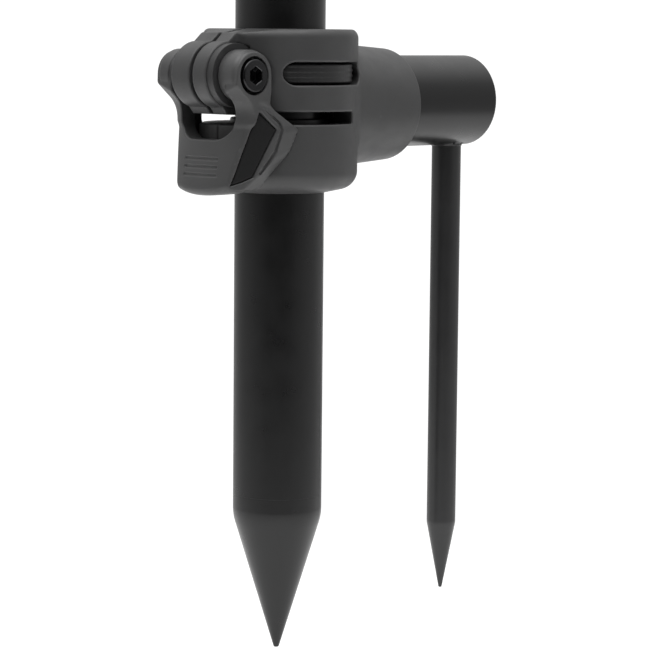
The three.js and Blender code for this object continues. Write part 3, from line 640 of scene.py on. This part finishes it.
def collar_field(x, y, z):
    """Two bands with a slot between them, two windows, the arm's boss and two lugs for the lever."""
    radius = disc(x, y)
    side = np.abs(y)
    out, down = UNDERSIDE_NORMAL
    underside = out * (radius - COLLAR_LIP_RADIUS) - down * (z - COLLAR_BOTTOM)
    body = meet(meet(radius - COLLAR_RADIUS, z - COLLAR_TOP, 1.8), underside, 2.5)
    boss_radius = BOSS_END_RADIUS + BOSS_TAPER * (BOSS_END - x)
    boss = meet(disc(y, z - BOSS_HEIGHT) - boss_radius, x - BOSS_END, 0.5)
    body = join(body, meet(boss, BOSS_ROOT - x), 0.8)
    body = cut(body, meet(slab(z, *SLOT), x - SLOT_END, 0.3), 0.3)
    between_faces = slab(y, -LUG_RIGHT, LUG_LEFT)
    body = join(body, meet(polygon(x, z, LUG_OUTLINE), between_faces, 0.2), 1.2)
    dip = LUG_TOP_DIP * np.clip((LUG_ROOT - x) / LUG_TOP_DIP_LENGTH, 0, 1)
    body = meet(body, z - COLLAR_TOP + COLLAR_TOP_DROP + dip, 0.15)
    body = cut(body, meet(meet(side - SPLIT_HALF_WIDTH, x), SPLIT_BOTTOM - z), 0.15)
    body = cut(body, meet(from_bolt(x, z, EYE_POCKET_RADIUS), EYE_INNER - FIT - side), 0.7)
    washer_pocket = meet(from_bolt(x, z, WASHER_RADIUS + WASHER_GAP), side - EYE_INNER)
    body = cut(body, meet(washer_pocket, -between_faces), 0.1)
    window = capsule(x, z, WINDOW_CENTRE, WINDOW_HALF_LENGTH, WINDOW_HALF_HEIGHT)
    body = cut(body, meet(window, WINDOW_INNER - side), 0.35)
    body = join(body, collar_pad(x, y, z), 0.3)
    liner_bore = meet(radius - LINER_RADIUS - FIT, slab(z, SLOT[0] - 0.1, LINER_SPAN[1] + 0.1))
    bush_bore = meet(radius - BUSH_BORE_RADIUS, slab(z, BUSH_BORE_FLOOR, SLOT[0]))
    body = cut(cut(body, liner_bore, 0.15), bush_bore, 0.15)
    body = cut(body, radius - COLLAR_LIP_RADIUS, 0.25)
    from_arm_axis = disc(y, z - ARM_HEIGHT)
    body = cut(body, meet(from_arm_axis - ARM_RADIUS - FIT, SOCKET_FLOOR - x), 0.3)
    body = cut(body, meet(from_arm_axis - ANCHOR_HOLE_RADIUS, ANCHOR_HEAD_SPAN[0] - x))
    body = cut(body, meet(from_arm_axis - ANCHOR_HEAD_RADIUS, slab(x, *ANCHOR_HEAD_SPAN)))
    return cut(body, from_bolt(x, z, BOLT_HOLE_RADIUS))


def liner_field(x, y, z):
    """The split sleeve that grips the stick, with a ribbed tab in each window."""
    radius = disc(x, y)
    side = np.abs(y)
    sleeve = meet(radius - LINER_RADIUS, slab(z, *LINER_SPAN), 0.3)
    ribs = TAB_RIB_HEIGHT * np.cos(2 * math.pi * (z - WINDOW_CENTRE[1]) / TAB_RIB_PITCH)
    tab = capsule(x, z, WINDOW_CENTRE, WINDOW_HALF_LENGTH - TAB_GAP, WINDOW_HALF_HEIGHT - TAB_GAP)
    tab = meet(tab, radius - TAB_RADIUS + ribs, 0.3)
    body = join(sleeve, meet(tab, WINDOW_INNER - side), 0.2)
    body = cut(body, radius - STICK_RADIUS - RUNNING_GAP, 0.2)
    body = cut(body, meet(side - LINER_SPLIT_HALF_WIDTH, x), 0.2)
    screw_hole = meet(disc(y, z - ARM_HEIGHT, LINER_SCREW_HOLE_RADIUS), ANCHOR_HEAD_SPAN[0] - x)
    return cut(body, screw_hole, 0.2)


def build_clamp():
    low, high = cad_box("clamp_collar")
    collar = moulded("collar_moulding", collar_field, low, high, COLLAR, step=0.27)
    finish_piece(collar, "clamp", "collar", "clamp_collar")
    low, high = cad_box("grip_liner")
    liner = moulded("collar_liner", liner_field, low, high, LINER, step=0.3)
    finish_piece(liner, "clamp", "liner", "grip_liner")

    low, high = cad_box("guide_bush")
    bore = STICK_RADIUS + RUNNING_GAP
    sleeve = turned("guide_sleeve", rounded([
        (bore, low[2], 0.2),
        (high[0], low[2], 0.2),
        (high[0], high[2], 0.4),
        (bore, high[2], 0.15),
    ]), LINER)
    finish_piece(sleeve, "guide", "liner", "guide_bush")
    build_arm()

    for word in ("left", "right"):
        low, high = cad_box("cam_washer_" + word)
        washer = turned("cam_disc_" + word, rounded([
            (BOLT_HOLE_RADIUS, low[1], 0.05),
            (WASHER_RADIUS, low[1], 0.06),
            (WASHER_RADIUS, high[1], 0.06),
            (BOLT_HOLE_RADIUS, high[1], 0.05),
        ]), CAM, axis="y", centre=(BOLT[0], 0, BOLT[1]), steps=64)
        finish_piece(washer, "clamp", "liner", "cam_washer_" + word)


def build_arm():
    arm_low, arm_high = cad_box("side_arm")
    inner = ARM_RADIUS - TUBE_WALL

    def arm_field(x, y, z):
        """The tube, with a hole for the stabiliser and a small weld round it."""
        from_axis = disc(y, z - ARM_HEIGHT)
        from_pin = disc(x - STAB_X, y, STAB_RADIUS)
        wall = meet(from_axis - ARM_RADIUS, slab(x, arm_low[0], arm_high[0]), 0.35)
        weld_bottom = ARM_HEIGHT - ARM_RADIUS - WELD_DROP
        weld = meet(from_pin - WELD_WIDTH, slab(z, weld_bottom, ARM_HEIGHT))
        wall = cut(join(wall, weld, 0.4), from_axis - inner, 0.3)
        return cut(wall, meet(from_pin - STAB_HOLE_GAP, slab(z, *STAB_HOLE_SPAN)))

    room = 0.8  # below the arm, for the weld
    arm = moulded("arm_tube", arm_field, arm_low - room, arm_high, TUBE, step=0.27)
    finish_piece(arm, "clamp", "tube", "side_arm")

    low, high = cad_box("arm_end_plug")
    cap = turned("arm_cap", rounded([
        (0, low[0], 0),
        (inner - FIT, low[0], 0.5),
        (inner - FIT, high[0], 0.25),
        (0, high[0], 0),
    ]), TUBE, axis="x", centre=(0, 0, ARM_HEIGHT))
    finish_piece(cap, "clamp", "tube", "arm_end_plug")

    low, high = cad_box("stabiliser_spike")
    pin = turned("stabiliser_pin", rounded([
        (0, low[2], 0),
        (STAB_TIP_RADIUS, low[2], 0.2),
        (STAB_RADIUS, STAB_CONE_TOP, 4),
        (STAB_RADIUS, high[2], 0.3),
        (0, high[2], 0),
    ]), PIN, centre=(STAB_X, 0, 0), steps=64)
    finish_piece(pin, "clamp", "tube", "stabiliser_spike")


# ---------------------------------------------------------------- lever

# Outlines in x and z. The seam's corners lie along the edge of the +Y wing.
NECK_OUTLINE = [
    (-21.0, 95.5),
    (-11.9, 95.5),
    (-11.9, 98.2),
    (-11.5, 101.0),
    *arc(BOLT[0], BOLT[1], EYE_RADIUS - 0.3, 0, 180, 24),
    (-19.9, 98.0),
]
POCKET_OUTLINE = [
    (-14.72, 97.70),
    (-14.27, 97.49),
    (-11.50, 94.58),
    (-14.70, 86.34),
    (-16.31, 85.48),
    (-18.20, 84.82),
]
SEAM = [SEAM_TOP[::2], (-11.18, 95.74), SEAM_CORNER[::2], (-11.55, 90.76), SEAM_FOOT[::2]]


def wing_plane(x, side, z):
    return plane(x, side, z, RIDGE_TOP, RIDGE_FOOT, SEAM_CORNER)


def lever_window(side, z):
    """The U-shaped opening above the paddle, between the two necks."""
    across = side - LEVER_WINDOW_HALF_WIDTH + LEVER_WINDOW_CORNER
    down = LEVER_WINDOW_FLOOR + LEVER_WINDOW_CORNER - z
    outside = disc(np.maximum(across, 0), np.maximum(down, 0))
    return outside + np.minimum(np.maximum(across, down), 0) - LEVER_WINDOW_CORNER


def paddle_front(radius, z):
    return radius - PADDLE_RADIUS - PADDLE_FLARE * (PADDLE_FLARE_TOP - z)


def paddle_field(x, y, z):
    """The curved paddle with a faceted wing on each side and a fine seam along the wing's edge."""
    side = np.abs(y)
    bottom = PADDLE_BOTTOM + PADDLE_BOTTOM_CURVE * y * y
    paddle = meet(paddle_front(disc(x, y), z), bottom - z, 1.7)
    paddle = meet(paddle, wing_plane(x, side, z), 0.3)
    facets = plane(x, side, z, SEAM_TOP, SEAM_CORNER, WING_TIP)
    facets = meet(facets, plane(x, side, z, WING_TIP, SEAM_CORNER, WING_EDGE), 0.3)
    facets = meet(facets, plane(x, side, z, WING_EDGE, WING_FOOT, SEAM_FOOT), 0.3)
    paddle = meet(paddle, facets, 0.2)
    slope_x, slope_z, distance = WING_TOP_PLANE
    paddle = meet(paddle, slope_x * x + slope_z * z - distance, 0.25)
    paddle = meet(paddle, z - PADDLE_TOP, 0.3)
    seam = polyline(x, z, SEAM) - WING_SEAM_RADIUS
    return cut(paddle, meet(seam, -WING_SEAM_DEPTH - paddle), 0.05)


def eye_field(x, y, z, outer):
    """Both eyes round the bolt, each with a chamfered outer face at the given distance."""
    side = np.abs(y)
    outline = from_bolt(x, z, EYE_RADIUS)
    inner = np.where(y > 0, EYE_INNER + EYE_STAND_OFF, EYE_INNER)
    eye = meet(outline, np.maximum(inner - side, side - outer), 0.2)
    out, along = EYE_CHAMFER_NORMAL
    eye = meet(eye, (outline + EYE_CHAMFER) * out + (side - outer) * along, 0.05)
    hub = meet(from_bolt(x, z, EYE_HUB_RADIUS), slab(side, EYE_INNER, EYE_INNER + EYE_HUB_LENGTH))
    return join(eye, hub)


def lever_field(x, y, z):
    """The cam lever: two eyes, two necks and the paddle, with a pocket in each wing for its inlay."""
    radius = disc(x, y)
    side = np.abs(y)
    outer = np.where(y > 0, EYE_LEFT, EYE_RIGHT)
    front = paddle_front(radius, z)
    # The factor 0.7 turns the sloping flare's offset along the radius into a distance square to it.
    flare = (radius - NECK_RADIUS - NECK_FLARE * (z - NECK_FLARE_BOTTOM)) * 0.7
    neck = meet(polygon(x, z, NECK_OUTLINE), np.maximum(NECK_INNER - side, side - outer), 0.3)
    neck = meet(neck, join(front, flare, 2.0), 0.3)
    body = join(paddle_field(x, y, z), neck, 1.2)
    body = cut(body, lever_window(side, z), 0.35)
    body = cut(body, radius - WING_INNER_RADIUS, 0.1)
    hollow = meet(radius - PADDLE_HOLLOW_RADIUS, side - PADDLE_HOLLOW_HALF_WIDTH, 1.0)
    body = cut(body, hollow, 0.2)
    body = join(body, eye_field(x, y, z, outer))
    pocket = meet(polygon(x, z, POCKET_OUTLINE), -POCKET_DEPTH - wing_plane(x, side, z))
    body = cut(body, meet(pocket, POCKET_INNER - side), 0.1)
    body = cut(body, from_bolt(x, z, BOLT_HOLE_RADIUS))
    recess = meet(from_bolt(x, z, EYE_RECESS_RADIUS), outer - EYE_RECESS_DEPTH - side)
    body = cut(body, recess, 0.12)
    for level in GRIP_LEVELS:
        groove = disc(front, z - level, GRIP_DEPTH)
        body = cut(body, meet(groove, side - GRIP_HALF_WIDTH, 0.2), 0.1)
    return body


def inlay_field(x, y, z):
    """The dark panel in the +Y wing's pocket, a little below the wing's face."""
    depth = wing_plane(x, y, z)
    face = meet(polygon(x, z, POCKET_OUTLINE) + INLAY_GAP, depth + INLAY_SINK, 0.2)
    return meet(face, INLAY_BED - POCKET_DEPTH - depth)


def build_lever():
    low, high = cad_box("cam_lever")
    lever = moulded("lever_moulding", lever_field, low, high, LEVER, step=0.17)
    finish_piece(lever, "lever", "lever", "cam_lever")
    room = 0.4  # round the panels, whose outline isn't exactly the CAD's
    for side, word in ((1, "left"), (-1, "right")):
        low, high = cad_box("lever_inlay_" + word)

        def field(x, y, z, side=side):
            return inlay_field(x, side * y, z)

        inlay = moulded("inlay_" + word, field, low - room, high + room, INLAY, step=0.2)
        finish_piece(inlay, "lever", "inlay", "lever_inlay_" + word)

    seat = EYE_RIGHT - EYE_RECESS_DEPTH + FIT
    head_top = seat + BOLT_HEAD_HEIGHT
    shank_span = (BOLT_END_SINK - EYE_LEFT, seat + 0.5)

    def bolt_field(x, y, z):
        """A socket-head bolt with its head at the -Y end."""
        head = meet(from_bolt(x, z, BOLT_HEAD_RADIUS), slab(-y, seat, head_top), 0.35)
        shank = meet(from_bolt(x, z, BOLT_RADIUS), slab(-y, *shank_span), 0.2)
        socket = hexagon(x - BOLT[0], z - BOLT[1], BOLT_SOCKET_HALF_WIDTH)
        socket = meet(socket, head_top - BOLT_SOCKET_DEPTH + y)
        return cut(join(head, shank), socket, 0.12)

    low, high = cad_box("lever_bolt")
    bolt = moulded("bolt_screw", bolt_field, low, high, STEEL, step=0.14)
    finish_piece(bolt, "lever", "steel", "lever_bolt")
    nut_low, nut_high = cad_box("lever_nut")

    def nut_field(x, y, z):
        """A hexagon nut with the corners of its outer face turned off at 30 degrees."""
        crown = from_bolt(x, z, NUT_FACE_RADIUS) * 0.5 + (y - nut_high[1]) * 0.866
        body = hexagon(x - BOLT[0], z - BOLT[1], NUT_HALF_WIDTH)
        body = meet(meet(body, slab(y, nut_low[1], nut_high[1]), 0.1), crown, 0.1)
        return cut(body, from_bolt(x, z, NUT_HOLE_RADIUS), 0.25)

    nut = moulded("bolt_nut", nut_field, nut_low, nut_high, STEEL, step=0.14)
    finish_piece(nut, "lever", "steel", "lever_nut")


# ---------------------------------------------------------------- lock collar, inner tube and rod rest

def thread(pitch, depth):
    """A radius change that makes a helical thread on a lathe piece."""
    def shape(angle, radius, height):
        turn = (height / pitch - angle / (2 * math.pi)) % 1
        return radius - depth * (1 - abs(2 * turn - 1))
    return shape


def stacked(radius, bottom, top, step):
    """Points up a straight wall, close enough together to carry a thread."""
    count = int(math.ceil((top - bottom) / step))
    return [(radius, bottom + (top - bottom) * i / count) for i in range(count + 1)]


def build_lock():
    low, high = cad_box("lock_collar")
    screw_axis = (0, 0, LOCK_SCREW_HEIGHT)

    def lock_field(x, y, z):
        """The collar on the tube's top, with three grooves and a boss for the thumbscrew."""
        radius = disc(x, y)
        from_screw = disc(y, z - LOCK_SCREW_HEIGHT)
        body = meet(radius - LOCK_RADIUS, slab(z, low[2], high[2]), 1.8)
        for level in LOCK_GROOVE_LEVELS:
            groove = slab(z, level, level + LOCK_GROOVE_HEIGHT)
            groove = meet(np.abs(radius - LOCK_RADIUS) - LOCK_GROOVE_DEPTH, groove)
            body = cut(body, groove, 0.25)
        reach = meet(x - LOCK_BOSS_SPAN[1], LOCK_BOSS_SPAN[0] - x)
        body = join(body, meet(from_screw - LOCK_BOSS_RADIUS, reach, 0.8), 1.0)
        body = cut(body, meet(radius - STICK_RADIUS - FIT, z - LOCK_TUBE_TOP), 0.3)
        body = cut(body, radius - LOCK_BORE_RADIUS, 0.6)
        return cut(body, meet(from_screw - INSERT_RADIUS - FIT, x - INSERT_POCKET_END), 0.2)

    lock = moulded("lock_collar_body", lock_field, low, high, COLLAR, step=0.3)
    finish_piece(lock, "stick", "collar", "lock_collar")

    insert_low, insert_high = cad_box("lock_insert")
    insert = turned("lock_insert_sleeve", rounded([
        (INSERT_HOLE_RADIUS, insert_low[0], 0.2),
        (INSERT_RADIUS, insert_low[0], 0.2),
        (INSERT_RADIUS, insert_high[0], 0.2),
        (INSERT_HOLE_RADIUS, insert_high[0], 0.2),
    ]), BRASS, axis="x", centre=screw_axis, steps=64)
    finish_piece(insert, "stick", "brass", "lock_insert")

    stem_low, stem_high = cad_box("thumbscrew_stem")
    stem = turned("thumbscrew_thread", [
        (0, stem_low[0]),
        *stacked(STEM_RADIUS, stem_low[0], stem_high[0] - 0.5, 0.1),
        (STEM_TIP_RADIUS, stem_high[0]),
        (0, stem_high[0]),
    ], STEEL, axis="x", centre=screw_axis, steps=48, shape=thread(*STEM_THREAD))
    finish_piece(stem, "thumbscrew", "steel", "thumbscrew_stem")

    knob_low, knob_high = cad_box("thumbscrew_knob")
    dish_centre = knob_low[0] - KNOB_DISH_OFFSET

    def knob_field(x, y, z):
        """A lobed knob with a dished outer face."""
        up = z - LOCK_SCREW_HEIGHT
        lobes = KNOB_LOBE_HEIGHT * np.cos(KNOB_LOBES * np.arctan2(up, y))
        body = meet(disc(y, up, KNOB_RADIUS) - lobes, slab(x, knob_low[0], knob_high[0]), 1.1)
        body = cut(body, disc(disc(y, up), x - dish_centre, KNOB_DISH_RADIUS), 0.5)
        return cut(body, meet(disc(y, up, KNOB_HOLE_RADIUS), KNOB_HOLE_END - x), 0.2)

    knob = moulded("thumbscrew_grip", knob_field, knob_low, knob_high, LEVER, step=0.25)
    finish_piece(knob, "thumbscrew", "lever", "thumbscrew_knob")


def build_inner_stick():
    tube_low, tube_high = cad_box("inner_tube")
    bore = INNER_RADIUS - TUBE_WALL
    inner = turned("inner_tube_skin", rounded([
        (bore, tube_low[2], 0.2),
        (INNER_RADIUS, tube_low[2], 0.3),
        (INNER_RADIUS, tube_high[2], 0.3),
        (bore, tube_high[2], 0.2),
    ]), TUBE)
    finish_piece(inner, "inner_stick", "tube", "inner_tube")

    head_low, head_high = cad_box("head_insert")
    rim = tube_high[2]
    head = turned("head_socket", rounded([
        (HEAD_BORE_RADIUS, head_low[2], 0.2),
        (bore - FIT, head_low[2], 0.3),
        (bore - FIT, rim + FIT, 0),
        (HEAD_RIM_RADIUS, rim + FIT, 0.4),
        (HEAD_RIM_RADIUS, rim + 2.2, 0.25),
        (HEAD_GROOVE_RADIUS, rim + 2.6, 0.2),
        (HEAD_GROOVE_RADIUS, rim + 3.2, 0.2),
        (HEAD_RIM_RADIUS, rim + 3.6, 0.25),
        (HEAD_RIM_RADIUS, head_high[2], 0.8),
        (HEAD_BORE_RADIUS, head_high[2], 0.4),
    ]), TUBE)
    finish_piece(head, "inner_stick", "tube", "head_insert")


def build_ring():
    low, high = cad_box("lock_ring")

    def knurl(angle, radius, height):
        """Grooves down the grip, and none on the end faces."""
        if radius < RING_KNURL_START:
            return radius
        return radius - RING_KNURL_DEPTH * max(math.cos(RING_KNURLS * angle), 0)

    ring = turned("knurled_ring", [
        (HEAD_BORE_RADIUS, low[2] + 0.3),
        (5.2, low[2]),
        (8.2, low[2]),
        *arc(RING_GRIP_RADIUS, low[2] + RING_EDGE, RING_EDGE, -80, 0, 5),
        *arc(RING_GRIP_RADIUS, high[2] - RING_EDGE, RING_EDGE, 0, 80, 5),
        (8.2, high[2]),
        (5.2, high[2]),
        (HEAD_BORE_RADIUS, high[2] - 0.3),
    ], TUBE, steps=336, shape=knurl)
    finish_piece(ring, "ring", "tube", "lock_ring")


def cradle_curve(radius, mouth, top):
    """The U of the rod rest in x and z, from one end of its mouth to the other."""
    return [(mouth, top), *arc(0, CRADLE_CENTRE, radius, 0, -180, 48), (-mouth, top)]


def build_rest():
    stud_low, stud_high = cad_box("rest_stud")
    stud = turned("rest_screw", [
        (0, stud_low[2]),
        (STUD_TIP_RADIUS, stud_low[2]),
        *stacked(STUD_RADIUS, stud_low[2] + 0.6, stud_high[2], 0.14),
        (0, stud_high[2]),
    ], STEEL, steps=64, shape=thread(*STUD_THREAD))
    finish_piece(stud, "rest", "steel", "rest_stud")

    rest_low, rest_high = cad_box("rod_rest")
    hub_low = rest_low[2]
    inside = cradle_curve(*CRADLE_INNER, rest_high[2])
    outline = cradle_curve(*CRADLE_OUTER, rest_high[2]) + inside[::-1]

    def rest_field(x, y, z):
        """An open cradle on a fluted hub."""
        radius = disc(x, y)
        cradle = meet(polygon(x, z, outline), np.abs(y) - CRADLE_HALF_WIDTH, 1.3)
        hub = meet(radius - HUB_RADIUS, slab(z, hub_low, hub_low + HUB_HEIGHT), 0.6)
        flutes = HUB_FLUTE_DEPTH * np.cos(HUB_FLUTES * np.arctan2(y, x))
        hub = meet(hub, radius - HUB_FLUTE_RADIUS - flutes, 0.3)
        body = meet(join(cradle, hub, 1.6), hub_low - z, 0.4)
        body = cut(body, meet(polygon(x, z, inside), -z), 0.8)
        return cut(body, meet(radius - STUD_POCKET_RADIUS, z - STUD_POCKET_TOP), 0.3)

    rest = moulded("rest_cradle", rest_field, rest_low, rest_high, COLLAR, step=0.3)
    finish_piece(rest, "rest", "collar", "rod_rest")

    def pad_field(x, y, z):
        """The ribbed rubber lining of the seat."""
        distance = disc(x, z - CRADLE_CENTRE)
        angle = np.arctan2(x, CRADLE_CENTRE - z)
        ribs = REST_PAD_RIB_HEIGHT * np.cos(REST_PAD_RIBS * angle)
        skin = meet(distance - REST_PAD_OUTER, REST_PAD_INNER - distance - ribs, 0.25)
        return meet(meet(skin, np.abs(y) - REST_PAD_HALF_WIDTH, 0.4), z - CRADLE_CENTRE, 0.4)

    low, high = cad_box("rest_liner")
    pad = moulded("rest_pad", pad_field, low, high, RUBBER, step=0.25)
    finish_piece(pad, "rest", "rubber", "rest_liner")


def dress_hidden_nodes():
    """The CAD pieces that stay as they are, out of sight inside the tubes."""
    for node, surface in (
        ("tube_top_bush", LINER),
        ("inner_tube_foot", LINER),
        ("arm_inner_plug", TUBE),
        ("anchor_screw", STEEL),
    ):
        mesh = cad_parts[node].data
        mesh.materials.clear()
        mesh.materials.append(surface)


# ---------------------------------------------------------------- stage, light and camera

FLOOR_HEIGHT = -60
FLOOR_THICKNESS = 2
FLOOR_RADIUS = 420
FLOOR_GLOW = 0.12
BACKDROP = 1.1                    # brightness of the white that the camera sees behind the object
CAMERA_PLACE = np.array([-309.263, -321.101, 111.122])
CAMERA_HEADING = math.radians(-45)
CAMERA_PITCH = math.radians(6.661)
CAMERA_ROLL = math.radians(0.525)
SENSOR_WIDTH = 36
FOCAL_LENGTH_IN_PICTURES = 3.846  # focal length over the picture's width


def add_camera():
    down, across = math.sin(CAMERA_PITCH), math.cos(CAMERA_PITCH)
    ahead = Vector((-math.sin(CAMERA_HEADING) * across, math.cos(CAMERA_HEADING) * across, -down))
    right = Vector((math.cos(CAMERA_HEADING), math.sin(CAMERA_HEADING), 0))
    up = right.cross(ahead)
    rolled_right = math.cos(CAMERA_ROLL) * right + math.sin(CAMERA_ROLL) * up
    rolled_up = math.cos(CAMERA_ROLL) * up - math.sin(CAMERA_ROLL) * right
    lens = bpy.data.cameras.new("camera")
    lens.sensor_width = SENSOR_WIDTH
    lens.lens = SENSOR_WIDTH * FOCAL_LENGTH_IN_PICTURES
    lens.clip_start = 0.01
    camera = bpy.data.objects.new("camera", lens)
    camera.matrix_world = Matrix.Translation(Vector(CAMERA_PLACE * MM)) @ Matrix(
        (rolled_right, rolled_up, -ahead)).transposed().to_4x4()
    SCENE.collection.objects.link(camera)
    SCENE.camera = camera


def add_light(name, place, target, size, power):
    light = bpy.data.lights.new(name, "AREA")
    light.shape = "RECTANGLE"
    light.size, light.size_y = size
    light.energy = power
    lamp = bpy.data.objects.new(name, light)
    lamp.location = place
    lamp.rotation_euler = (Vector(target) - Vector(place)).to_track_quat("-Z", "Y").to_euler()
    SCENE.collection.objects.link(lamp)


def add_world():
    """White to the camera, and a studio for reflections: dark in front of the object, bright beside,
    behind and above it."""
    world = bpy.data.worlds.new("studio")
    world.use_nodes = True
    nodes, links = world.node_tree.nodes, world.node_tree.links
    nodes.clear()
    direction = nodes.new("ShaderNodeTexCoord").outputs["Generated"]

    def curve(axis, stops):
        """Brightness along a direction, from stops of (cosine, brightness)."""
        dot = nodes.new("ShaderNodeVectorMath")
        dot.operation = "DOT_PRODUCT"
        dot.inputs[1].default_value = axis
        links.new(direction, dot.inputs[0])
        ramp = nodes.new("ShaderNodeMapRange")
        ramp.inputs["From Min"].default_value = -1
        links.new(dot.outputs["Value"], ramp.inputs["Value"])
        colours = nodes.new("ShaderNodeValToRGB")
        colours.color_ramp.interpolation = "EASE"
        elements = colours.color_ramp.elements
        while len(elements) < len(stops):
            elements.new(0.5)
        for element, (cosine, brightness) in zip(elements, stops):
            element.position = (cosine + 1) / 2
            element.color = (brightness, brightness, brightness, 1)
        links.new(ramp.outputs["Result"], colours.inputs["Fac"])
        return colours.outputs["Color"]

    front = (math.sin(CAMERA_HEADING), -math.cos(CAMERA_HEADING), 0)
    around = curve(front, [(-1, 0.6), (-0.6, 0.5), (0.2, 0.45), (0.65, 0.26), (0.92, 0.06), (1, 0.04)])
    above = curve((0, 0, 1), [(-1, 0.1), (0.0, 0.0), (0.4, 0.05), (0.85, 1.0)])
    total = nodes.new("ShaderNodeMix")
    total.data_type = "RGBA"
    total.blend_type = "ADD"
    total.inputs["Factor"].default_value = 1
    links.new(around, total.inputs["A"])
    links.new(above, total.inputs["B"])
    studio = nodes.new("ShaderNodeBackground")
    studio.inputs["Strength"].default_value = 1.0
    links.new(total.outputs["Result"], studio.inputs["Color"])
    white = nodes.new("ShaderNodeBackground")
    white.inputs["Color"].default_value = (1, 1, 1, 1)
    white.inputs["Strength"].default_value = BACKDROP
    choose = nodes.new("ShaderNodeMixShader")
    links.new(nodes.new("ShaderNodeLightPath").outputs["Is Camera Ray"], choose.inputs["Fac"])
    links.new(studio.outputs["Background"], choose.inputs[1])
    links.new(white.outputs["Background"], choose.inputs[2])
    output = nodes.new("ShaderNodeOutputWorld")
    links.new(choose.outputs["Shader"], output.inputs["Surface"])
    SCENE.world = world


def add_floor():
    outline = rounded([
        (0, FLOOR_HEIGHT - FLOOR_THICKNESS, 0),
        (FLOOR_RADIUS, FLOOR_HEIGHT - FLOOR_THICKNESS, 0.5),
        (FLOOR_RADIUS, FLOOR_HEIGHT, 0.5),
        (0, FLOOR_HEIGHT, 0),
    ])
    pale = surface_material("floor_pale", (0.9, 0.9, 0.9), 0.8, grain=400, bump=0.01, mottle=0.01)
    shader = pale.node_tree.nodes["Principled BSDF"]
    shader.inputs["Emission Color"].default_value = (1, 1, 1, 1)
    shader.inputs["Emission Strength"].default_value = FLOOR_GLOW
    turned("floor", outline, pale)


add_camera()
add_world()
add_floor()
add_light("top_softbox", place=(-0.15, -0.1, 0.75), target=(0, 0, 0.08), size=(0.6, 0.6), power=3)
SCENE.view_settings.view_transform = "Standard"

build_stick()
build_clamp()
build_lever()
build_lock()
build_inner_stick()
build_ring()
build_rest()
dress_hidden_nodes()
